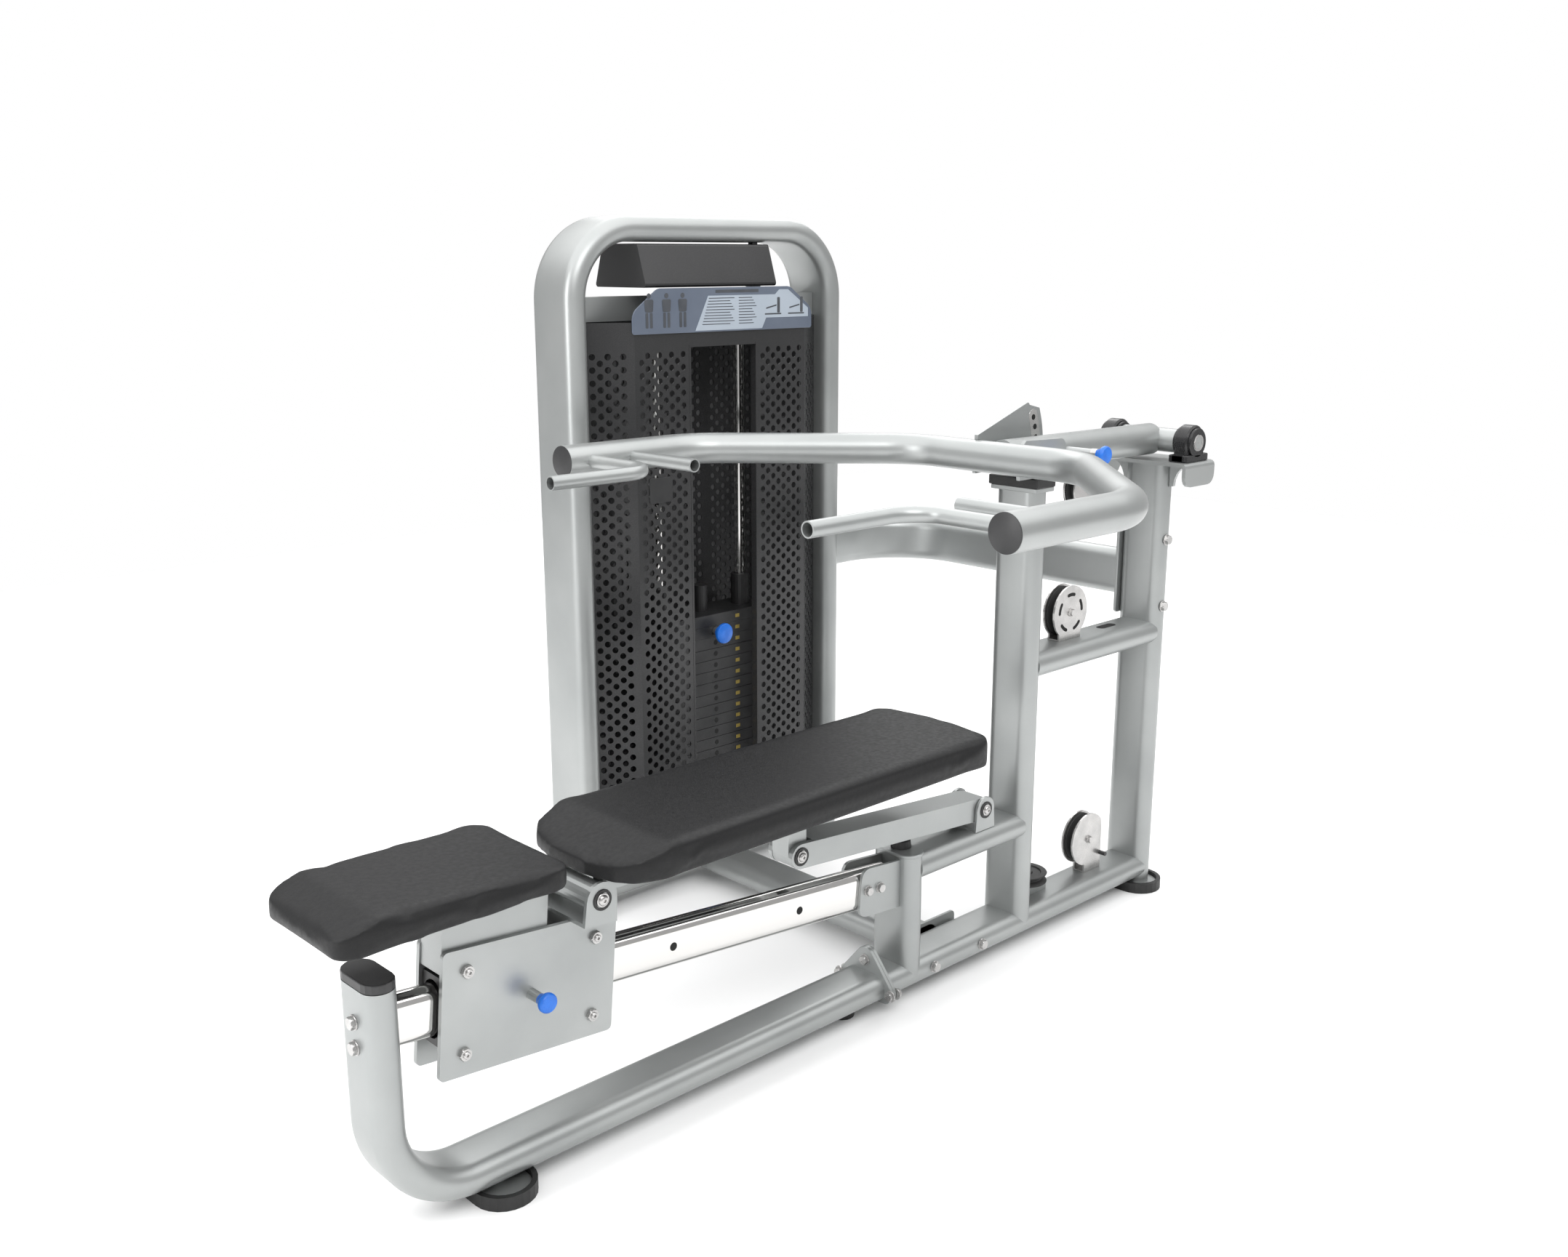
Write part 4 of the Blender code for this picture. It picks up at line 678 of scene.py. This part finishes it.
# Button-head screw with a hexagon recess over a washer, at one end of a pivot.
def pivotShells(point, y, side):
    at = (point[0], y, point[1])
    return [lathe([(0.0112, 0), (0.0112, 0.0012), (0.0106, 0.0017)], at, (0, side, 0), 40),
        lathe(
            [(0.0086, 0.0016), (0.0084, 0.0030), (0.0070, 0.0048), (0.0046, 0.0057), (0.0030, 0.0058, 1),
             (0.0028, 0.0038, 1)],
            at, (0, side, 0), 48)]


pivots = {"hinge": {"point": (-1.5107, 0.4382), "y": 0.0722, "body": "carriage"},
          "knee": {"point": (-1.0550, 0.3657), "y": 0.0302, "body": "link"},
          "anchor": {"point": (-0.5615, 0.3260), "y": 0.0374, "body": "frame"}}
for word, s in pivots.items():
    point, y, body = s["point"], s["y"], s["body"]
    newPiece(word + "Screws", sum([pivotShells(point, side * (y + 0.0012), side) for side in (-1, 1)], []),
        "zinc", body)
    newPiece(word + "Bushes",
        [lathe([(0.0125, 0), (0.0168, 0), (0.0164, 0.0016), (0.0125, 0.0018)],
             (point[0], side * y, point[1]), (0, side, 0), 48, "loop")
         for side in (-1, 1)],
        "rubber_black", body)
print("fasteners done")


pulleys = {"upper": (-0.2746, 0.004, 0.669), "lower": (-0.1692, 0.006, 0.1500),
    "base": (-0.352, 0.022, 0.1115)}


# A cable wheel: rounded rims, a V groove with a round root, and dished sides.
def sheaveShell(radius, half, centre, axis):
    rim = radius - 0.0008
    profile = [(0.0068, -half), (0.016, -half), (0.018, -half * 0.72), (radius * 0.70, -half * 0.72),
        (radius * 0.74, -half), (rim, -half), (radius, -half * 0.9), (radius - 0.0006, -half * 0.74),
        (radius - 0.0098, -half * 0.24), (radius - 0.0106, 0.0), (radius - 0.0098, half * 0.24),
        (radius - 0.0006, half * 0.74), (radius, half * 0.9), (rim, half), (radius * 0.74, half),
        (radius * 0.70, half * 0.72), (0.018, half * 0.72), (0.016, half), (0.0068, half)]
    return lathe(profile, centre, axis, 72, "loop")


newPiece("upperSheave", [sheaveShell(0.0510, 0.0095, pulleys["upper"], yAxis)], "rubber_black",
    "upper_pulley", ["upper_pulley"])
newPiece("lowerSheave", [sheaveShell(0.0525, 0.0095, pulleys["lower"], yAxis)], "rubber_black",
    "lower_pulley", ["lower_pulley"])
newPiece("baseSheave", [sheaveShell(0.0470, 0.0100, pulleys["base"], zAxis)], "rubber_black", "base_pulley",
    ["base_pulley"])
leverWheel = {"x": -0.235, "z": 0.918, "radius": 0.048, "cheek": 0.0505}
newPiece("leverSheave",
    [sheaveShell(leverWheel["radius"], 0.0095, (leverWheel["x"], 0, leverWheel["z"]), yAxis)],
    "rubber_black", "press_lever")
cheekShape = np.vstack([arcPoints(leverWheel["x"], leverWheel["z"], leverWheel["cheek"], 150, 390, 40),
                        [(leverWheel["x"] + 0.030, 0.985), (leverWheel["x"] - 0.030, 0.985)]])
wheelMount = [plate(cheekShape, (0, side * 0.0125, 0), xAxis, zAxis, 0.004, 0.0006) for side in (-1, 1)]
for side in (-1, 1):
    wheelMount += boltShells((leverWheel["x"], side * 0.0146, leverWheel["z"]), (0, side, 0), "axle")
newPiece("leverWheelMount", wheelMount, "zinc", "press_lever")
guard = {"x": -0.478, "z": 1.337, "outer": 0.0335, "inner": 0.0235, "half": 0.008}
newPiece("towerGuard",
    [lathe(
         [(guard["inner"], -guard["half"]), (guard["outer"], -guard["half"]), (guard["outer"] + 0.001, 0.0),
          (guard["outer"], guard["half"]), (guard["inner"], guard["half"])],
         (guard["x"], towerDims["y"], guard["z"]), yAxis, 64, "loop"),
     plate(oblong(-0.008, 0.030, 0.008, 0.064), (guard["x"], towerDims["y"], guard["z"]), xAxis, zAxis,
         0.014, 0.001)],
    "rubber_black", "frame")
axleHeads = boltShells((guard["x"] + 0.0335, towerDims["y"] - 0.002, guard["z"] + 0.012), xAxis, "guard")
for key in ("upper", "lower"):
    x, y, z = pulleys[key]
    for side in (-1, 1):
        axleHeads += boltShells((x, y + side * 0.0148, z), (0, side, 0), "axle")
newPiece("axleHeads", axleHeads, "zinc", "frame")
newPiece("bracketPin",
    [lathe([(0.0046, 0), (0.0046, 0.0150), (0.0040, 0.0158)], (-0.125, -0.0085, 0.108), outY, 32)],
    "plastic_dark", "frame")
# Five curved slots in each cheek of the upper bracket, drawn as thin dark plates instead of cut: painted
# shade.
slotCuts = []
ux, uy, uz = pulleys["upper"]
for k in range(5):
    middle = 90 + 72 * k
    outer = arcPoints(ux, uz, 0.0405, middle - 15, middle + 15, 12)
    inner = arcPoints(ux, uz, 0.0335, middle + 15, middle - 15, 12)
    ends = [
        arcPoints(ux + 0.037 * math.cos(math.radians(middle + d)),
            uz + 0.037 * math.sin(math.radians(middle + d)), 0.0035, middle + a, middle + b, 6)[1:-1]
        for d, a, b in ((15, 0, 180), (-15, 180, 360))]
    slotOutlineOne = np.vstack([outer, ends[0], inner, ends[1]])
    for side in (-1, 1):
        slotCuts.append(plate(slotOutlineOne, (0, uy + side * 0.0147, 0), xAxis, zAxis, 0.0004, 0.0001))
newPiece("cheekSlots", slotCuts, "plastic_dark", "frame", finish="holeShade")
print("pulleys done")


bearing = {"y": 0.0895, "half": 0.0215, "dome": 0.0355, "foot": 0.9603}
for side, word in ((-1, "near"), (1, "far")):
    dome = arcPoints(0, arm["pivotZ"], bearing["dome"], -22, 202, 40)
    base = np.array(
        [(-0.034, 0.9755), (-0.043, 0.9745), (-0.043, bearing["foot"]), (0.043, bearing["foot"]),
         (0.043, 0.9745), (0.034, 0.9755)])
    shells = [
        plate(np.vstack([dome, base]), (0, side * bearing["y"], 0), xAxis, zAxis,
            2 * bearing["half"] * 0.72, 0.0035),
        lathe(
            [(0.0178, -bearing["half"]), (0.0285, -bearing["half"]), (0.0300, -bearing["half"] + 0.0015),
             (0.0300, bearing["half"] - 0.0015), (0.0285, bearing["half"]), (0.0178, bearing["half"])],
            (0, side * bearing["y"], arm["pivotZ"]), yAxis, 64, "loop"),
        plate(roundedOutline(oblong(-0.043, -0.0215, 0.043, 0.0215), 0.006),
            (0, side * bearing["y"], 0.9675), xAxis, yAxis, 0.0142, 0.0015)]
    newPiece(word + "Bearing", shells, "casting_black", "frame", [word + "_bearing"])
    ring = [
        lathe([(0.0125, 0), (0.0168, 0), (0.0166, 0.0008), (0.0127, 0.0008)],
            (0, side * 0.1121, arm["pivotZ"]), (0, side, 0), 56, "loop"),
        lathe([(0.0020, 0), (0.0020, 0.0006)], (0, side * 0.1121, arm["pivotZ"]), (0, side, 0), 24)]
    newPiece(word + "ShaftRing", ring, "zinc", "press_lever")
print("bearings done")


rail = {"start": (-0.8805, 0.2458), "back": -0.4425, "half": 0.530, "thin": 0.040, "wide": 0.080,
    "holes": (0.0, 0.2855, 0.571)}
railMid = np.array([rail["start"][0], 0, rail["start"][1]]) + railDir * rail["back"]
railPath = [railMid - railDir * (rail["half"] - 0.018), railMid + railDir * (rail["half"] - 0.030)]
newPiece("railBar", [tube(ovalSection(rail["thin"], rail["wide"], 18), railPath, railUp)], "chrome",
    "frame", ["slide_rail"])
railHeight = (np.array([rail["start"][0], 0, rail["start"][1]]) - carriageMid) @ railUp
# Lock holes on the rail drawn as thin dark discs instead of cut: painted shade.
lockHoles = [roundSection(0.0072, 40) for _ in rail["holes"]]
newPiece("railLockHoles",
    [plate(shape, carriageMid + railDir * along + railUp * railHeight + np.array([0, -0.02003, 0]), railDir,
         railUp, 0.0004, 0.0001)
     for shape, along in zip(lockHoles, rail["holes"])],
    "plastic_dark", "frame", finish="holeShade")
plateBolts = []
for s in (-0.005, 0.027):
    at = np.array([rail["start"][0], 0, rail["start"][1]]) + railDir * (0.055 - 0.052 + s) + railUp * 0.004
    for side in (-1, 1):
        plateBolts += boltShells(at + (0, side * 0.0264, 0), (0, side, 0), "rail")
newPiece("railPlateBolts", plateBolts, "zinc", "frame")
print("rail done")


shroud = {"back": 0.690, "front": 0.630, "outer": 0.3235, "fold": 0.235, "bottom": 0.100, "top": 1.243,
          "window": 0.093, "hole": 0.0064, "column": 0.0154, "row": 0.013, "rows": 84,
          "middleCells": 12, "windowTop": 1.197, "sheet": 0.0018}


# A folded sheet on a lattice: plain cells are hexagons, and each holed cell is eight pentagons round a ring.
# The sheet is worked out flat, along its width and height, and then folded along the corner line.
def perforatedSheet(name, corners, node, hasWindow=True, facing=1):
    corners = np.array(corners, float)
    runs = np.linalg.norm(np.diff(corners, axis=0), axis=1)
    cumulative = np.concatenate([[0], np.cumsum(runs)])
    sideMargin = (runs[0] - 5 * shroud["column"]) / 2
    flatRun = shroud["fold"] - shroud["window"]
    frontMargin = (flatRun - 8 * shroud["column"]) / 2
    widths = ([sideMargin] + [shroud["column"]] * 5 + [sideMargin] + [frontMargin] + [shroud["column"]] * 8
        + [frontMargin])
    holed = [0] + [1] * 5 + [0, 0] + [1] * 8 + [0]
    middleCells = shroud["middleCells"]
    widths = widths + [2 * shroud["window"] / middleCells] * middleCells + widths[::-1]
    middleHoles = [0] * middleCells if hasWindow else [0, 1, 1, 1, 1, 0, 0, 1, 1, 1, 1, 0]
    holed = np.array(holed + middleHoles + holed[::-1], bool)
    inWindow = np.zeros(len(widths), bool)
    inWindow[len(holed) // 2 - middleCells // 2: len(holed) // 2 + middleCells // 2] = True
    edges = np.concatenate([[0], np.cumsum(widths)])
    heights = np.concatenate(
        [[shroud["bottom"]], shroud["bottom"] + 0.024 + shroud["row"] * np.arange(shroud["rows"]),
         [shroud["top"]]])
    lines = len(heights)
    columns = len(widths)
    mids = (edges[:-1] + edges[1:]) / 2
    cornerU, cornerZ = np.meshgrid(edges, heights, indexing="ij")
    midU, midZ = np.meshgrid(mids, heights, indexing="ij")
    flat = np.vstack(
        [np.stack([cornerU.ravel(), cornerZ.ravel()], -1), np.stack([midU.ravel(), midZ.ravel()], -1)])

    # Number of the point where column line c meets row line k.
    def corner(c, k):
        return c * lines + k

    # Number of the point halfway along row line k in column c.
    def mid(c, k):
        return (columns + 1) * lines + c * lines + k

    c, k = np.meshgrid(np.nonzero(holed)[0], np.arange(2, lines - 4, 2), indexing="ij")
    c, k = c.ravel(), k.ravel()
    k = k + c % 2
    plain = np.ones((columns, lines - 1), bool)
    plain[c, k] = False
    plain[c, k + 1] = False
    windowRows = heights[1:] < shroud["windowTop"]
    if hasWindow:
        plain[np.ix_(inWindow, windowRows)] = False
    pc, pk = np.nonzero(plain)
    hexagons = np.stack(
        [corner(pc, pk), mid(pc, pk), corner(pc + 1, pk), corner(pc + 1, pk + 1), mid(pc, pk + 1),
         corner(pc, pk + 1)],
        -1)
    rim = np.stack([corner(c, k), mid(c, k), corner(c + 1, k), corner(c + 1, k + 1), corner(c + 1, k + 2),
                    mid(c, k + 2), corner(c, k + 2), corner(c, k + 1)], -1)
    # The eight ways from a hole to its rim points, in degrees, and the turns halfway between them.
    main = np.array([239, 270, 301, 360, 419, 450, 481, 540, 599], float)
    angles = np.radians(np.stack([main[:-1], (main[:-1] + main[1:]) / 2], -1).ravel())
    ringFlat = (np.stack([mids[c], heights[k + 1]], -1)[:, None]
                + shroud["hole"] * np.stack([np.cos(angles), np.sin(angles)], -1)[None])
    ring = len(flat) + np.arange(len(c) * 16).reshape(-1, 16)
    spoke = np.arange(8)
    pentagons = np.stack(
        [rim[:, spoke], rim[:, (spoke + 1) % 8], ring[:, (2 * spoke + 2) % 16], ring[:, 2 * spoke + 1],
         ring[:, 2 * spoke]],
        -1).reshape(-1, 5)
    flat = np.vstack([flat, ringFlat.reshape(-1, 2)])
    place = np.stack([np.interp(flat[:, 0], cumulative, corners[:, 0]),
                      np.interp(flat[:, 0], cumulative, corners[:, 1]), flat[:, 1]], -1)
    faces = hexagons.tolist() + pentagons.tolist()
    used = np.unique(np.concatenate([hexagons.ravel(), pentagons.ravel()]))
    renumber = np.full(len(place), -1)
    renumber[used] = np.arange(len(used))
    mesh = bpy.data.meshes.new(name)
    mesh.from_pydata(place[used].tolist(), [], [renumber[face].tolist() for face in faces])
    obj = bpy.data.objects.new(name, mesh)
    bpy.context.scene.collection.objects.link(obj)
    mesh.materials.append(finishes["shroud_grey"])
    wall = obj.modifiers.new("sheet", "SOLIDIFY")
    wall.thickness = shroud["sheet"]
    wall.offset = -1
    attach(obj, "frame")
    if node:
        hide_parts(node)


tx, ty = towerDims["x"], towerDims["y"]
lineFront = [(tx - shroud["outer"], shroud["back"]), (tx - shroud["fold"], shroud["front"]),
             (tx + shroud["fold"], shroud["front"]), (tx + shroud["outer"], shroud["back"])]
perforatedSheet("frontShroudSheet", lineFront, "front_shroud")
backLine = np.array([(x, 2 * ty - y) for x, y in lineFront[::-1]])
perforatedSheet("backShroudSheet", backLine, "back_shroud", False)
perforatedSheet("backShroudInner", backLine - (0, 0.0042), None, False)
# A grey sheet between the two perforated sheets. Its lighter grey is painted light, standing in for light
# showing through the holes from behind.
lining = np.vstack([backLine - (0, 0.0022), (backLine - (0, 0.0034))[::-1]])
newPiece("backShroudLining",
    [plate(lining, (0, 0, (shroud["bottom"] + shroud["top"]) / 2), xAxis, yAxis,
         shroud["top"] - shroud["bottom"] - 0.004, 0.0002)],
    "shroud_grey", "frame", finish="smokedPanel")
# Trim down both sides of the window, and a blank plate beside it.
windowTrim = []
for side in (-1, 1):
    windowTrim.append(
        plate(oblong(0, 0, 0.0045, 0.016),
            (tx + side * (shroud["window"] - 0.001) - 0.00225, shroud["front"] - 0.0005, 0.652), xAxis,
            yAxis, 1.088))
blank = roundedOutline(oblong(-0.030, -0.026, 0.030, 0.026), 0.004)
newPiece("blankPlate",
    [plate(blank, (tx - 0.175, shroud["front"] - 0.0012, 0.905), xAxis, zAxis, 0.0016, 0.0004)],
    "plastic_dark", "frame")
newPiece("windowTrim", windowTrim, "shroud_grey", "frame")
print("shrouds done")


board = {"x": tx + 0.005, "y": 0.6275, "half": 0.247, "low": 1.2195, "high": 1.3085,
    "shoulder": (0.182, 1.262)}
slopeX, slopeZ = board["shoulder"]
boardOutline = roundedOutline(
    [(-board["half"], board["low"]), (board["half"], board["low"]), (board["half"], slopeZ),
     (slopeX, board["high"]), (-slopeX, board["high"]), (-board["half"], slopeZ)],
    [0.006, 0.006, 0.03, 0.03, 0.03, 0.03], 8)
newPiece("placardBoard", [plate(boardOutline, (board["x"], board["y"], 0), xAxis, zAxis, 0.003, 0.0006)],
    "placard_grey", "frame", ["placard"])


# An outline laid on the board, each layer a little nearer.
def boardShape(outline, layer):
    return plate(outline, (board["x"], board["y"] - 0.0016 - 0.0002 * layer, 0), xAxis, zAxis, 0.0003,
        0.00008)


light = [
    boardShape(
        [(-0.085, 1.2225), (0.100, 1.2225), (0.112, 1.2440), (0.236, 1.2440), (0.236, 1.2620),
         (0.176, 1.3020), (0.150, 1.3020), (0.138, 1.2920), (-0.050, 1.2920)],
        0)]
newPiece("placardLightField", light, "placard_grey", "frame", finish="placardLight")
ink = []
for column, (x0, x1) in enumerate(((-0.048, 0.022), (0.034, 0.084))):
    for row in range(10):
        z = 1.2860 - 0.0058 * row
        shift = 0.35 * (1.2860 - z) if column == 0 else 0
        reach = x1 - 0.012 * ((row * 7 + column * 3) % 4) / 3
        ink.append(boardShape(oblong(x0 - shift, z, reach, z + 0.0016), 1))
ink.append(boardShape(oblong(-0.030, 1.2975, 0.090, 1.3035), 1))
for middle in (0.132, 0.200):
    ink.append(boardShape(roundedOutline(oblong(middle - 0.024, 1.2500, middle + 0.024, 1.2530), 0.001), 1))
    ink.append(boardShape(roundedOutline(oblong(middle + 0.012, 1.2535, middle + 0.020, 1.2860), 0.002), 1))
    ink.append(
        boardShape(
            [(middle - 0.020, 1.2620), (middle + 0.010, 1.2680), (middle + 0.010, 1.2710),
             (middle - 0.020, 1.2650)],
            1))
for middle in (-0.205, -0.160, -0.118):
    ink.append(boardShape(roundSection(0.0052, 24) + (middle, 1.2940), 1))
    ink.append(
        boardShape(
            roundedOutline(
                [(middle - 0.010, 1.2620), (middle + 0.010, 1.2620), (middle + 0.012, 1.2870),
                 (middle - 0.012, 1.2870)],
                0.004),
            1))
    for side in (-1, 1):
        ink.append(
            boardShape(
                roundedOutline(
                    oblong(middle + side * 0.0055 - 0.0035, 1.2310, middle + side * 0.0055 + 0.0035,
                        1.2610),
                    0.002),
                1))
newPiece("placardLines", ink, "placard_grey", "frame", finish="placardInk")
print("placard done")


for body, levels, word in (("weight_carriage", range(2), "lifted"),
    ("frame", range(2, stack["count"]), "resting")):
    markers, cups = [], []
    for level in levels:
        z = stack["top"] - (level + 0.5) * stack["pitch"]
        markers.append(
            plate(oblong(-0.006, -0.004, 0.006, 0.004), (tx + 0.064, stack["y0"] - 0.0003, z), xAxis, zAxis,
                0.0006, 0.0001))
        if level > 1:
            # Pin holes drawn as thin dark discs instead of cut: painted shade.
            cups.append(
                plate(roundSection(0.0056, 28), (tx, stack["y0"] - 0.0001, z), xAxis, zAxis, 0.0004,
                    0.0001))
    newPiece(word + "Markers", markers, "plate_iron", body, finish="markerGold")
    if cups:
        newPiece(word + "PinHoles", cups, "plate_iron", body, finish="holeShade")
print("stack done")


cushionSettings = {
    "seatCushion": {"node": "seat_pad", "body": "carriage", "voxel": 0.004, "inset": 0.0014, "cap": 0.0026,
        "pressure": 2.0, "iron": 6},
    "backCushion": {"node": "back_pad", "body": "back_rest", "voxel": 0.005, "inset": 0.0014, "cap": 0.0026,
        "pressure": 2.0, "iron": 6},}


# The pad's own form, remeshed, eased at its edges, blown up a little as cloth, and held to the cap.
def newCushion(name, s):
    source = nodes[s["node"]]
    shape = bmesh.new()
    shape.from_mesh(source.data)
    bmesh.ops.remove_doubles(shape, verts=shape.verts, dist=0.0001)
    bmesh.ops.recalc_face_normals(shape, faces=shape.faces)
    mesh = bpy.data.meshes.new(name)
    shape.to_mesh(mesh)
    shape.free()
    obj = bpy.data.objects.new(name, mesh)
    bpy.context.scene.collection.objects.link(obj)
    remesh = obj.modifiers.new("remesh", "REMESH")
    remesh.mode = "VOXEL"
    remesh.voxel_size = s["voxel"]
    ease = obj.modifiers.new("ease", "SMOOTH")
    ease.factor = 0.5
    ease.iterations = 5
    settle(obj)
    count = len(obj.data.vertices)
    normals = np.empty(count * 3, np.float32)
    obj.data.vertices.foreach_get("normal", normals)
    start = np.empty(count * 3, np.float32)
    obj.data.vertices.foreach_get("co", start)
    start = start.reshape(-1, 3) - normals.reshape(-1, 3) * s["inset"]
    obj.data.vertices.foreach_set("co", start.ravel())
    obj.data.update()
    cloth = obj.modifiers.new("cloth", "CLOTH")
    cloth.settings.use_pressure = True
    cloth.settings.uniform_pressure_force = s["pressure"]
    cloth.settings.effector_weights.gravity = 0
    cloth.settings.quality = 5
    cloth.collision_settings.use_collision = False
    scene = bpy.context.scene
    for step in range(1, 21):
        scene.frame_set(step)
    settle(obj)
    scene.frame_set(1)
    swollen = np.empty(count * 3, np.float32)
    obj.data.vertices.foreach_get("co", swollen)
    shift = swollen.reshape(-1, 3) - start
    length = np.linalg.norm(shift, axis=1)[:, None]
    held = start + shift * np.minimum(1, s["cap"] / np.maximum(length, 1e-9))
    obj.data.vertices.foreach_set("co", held.astype(np.float32).ravel())
    obj.data.update()
    iron = obj.modifiers.new("iron", "SMOOTH")
    iron.factor = 0.5
    iron.iterations = s["iron"]
    finer = obj.modifiers.new("finer", "SUBSURF")
    finer.levels = finer.render_levels = 1
    settle(obj)
    obj.data.shade_smooth()
    obj.data.materials.clear()
    obj.data.materials.append(finishes["pad_black"])
    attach(obj, s["body"])
    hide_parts(s["node"])


# Keep the mesh that the modifiers make, and drop them.
def settle(obj):
    graph = bpy.context.evaluated_depsgraph_get()
    made = bpy.data.meshes.new_from_object(obj.evaluated_get(graph))
    obj.modifiers.clear()
    obj.data = made


for name, s in cushionSettings.items():
    newCushion(name, s)
    print(name, "done")


floorSettings = {"low": (-6, -5), "high": (5, 5), "tone": (0.93, 0.93, 0.93, 1), "rough": 0.9}
(floorX0, floorY0), (floorX1, floorY1) = floorSettings["low"], floorSettings["high"]
floorMesh = bpy.data.meshes.new("floor")
floorMesh.from_pydata([(x, y, 0) for x, y in oblong(floorX0, floorY0, floorX1, floorY1)], [],
    [(0, 1, 2, 3)])
floor = bpy.data.objects.new("floor", floorMesh)
bpy.context.scene.collection.objects.link(floor)
floorPaint = bpy.data.materials.new("paleFloor")
floorPaint.use_nodes = True
floorPaint.node_tree.nodes["Principled BSDF"].inputs["Base Color"].default_value = floorSettings["tone"]
floorPaint.node_tree.nodes["Principled BSDF"].inputs["Roughness"].default_value = floorSettings["rough"]
floorMesh.materials.append(floorPaint)

print("scene done")
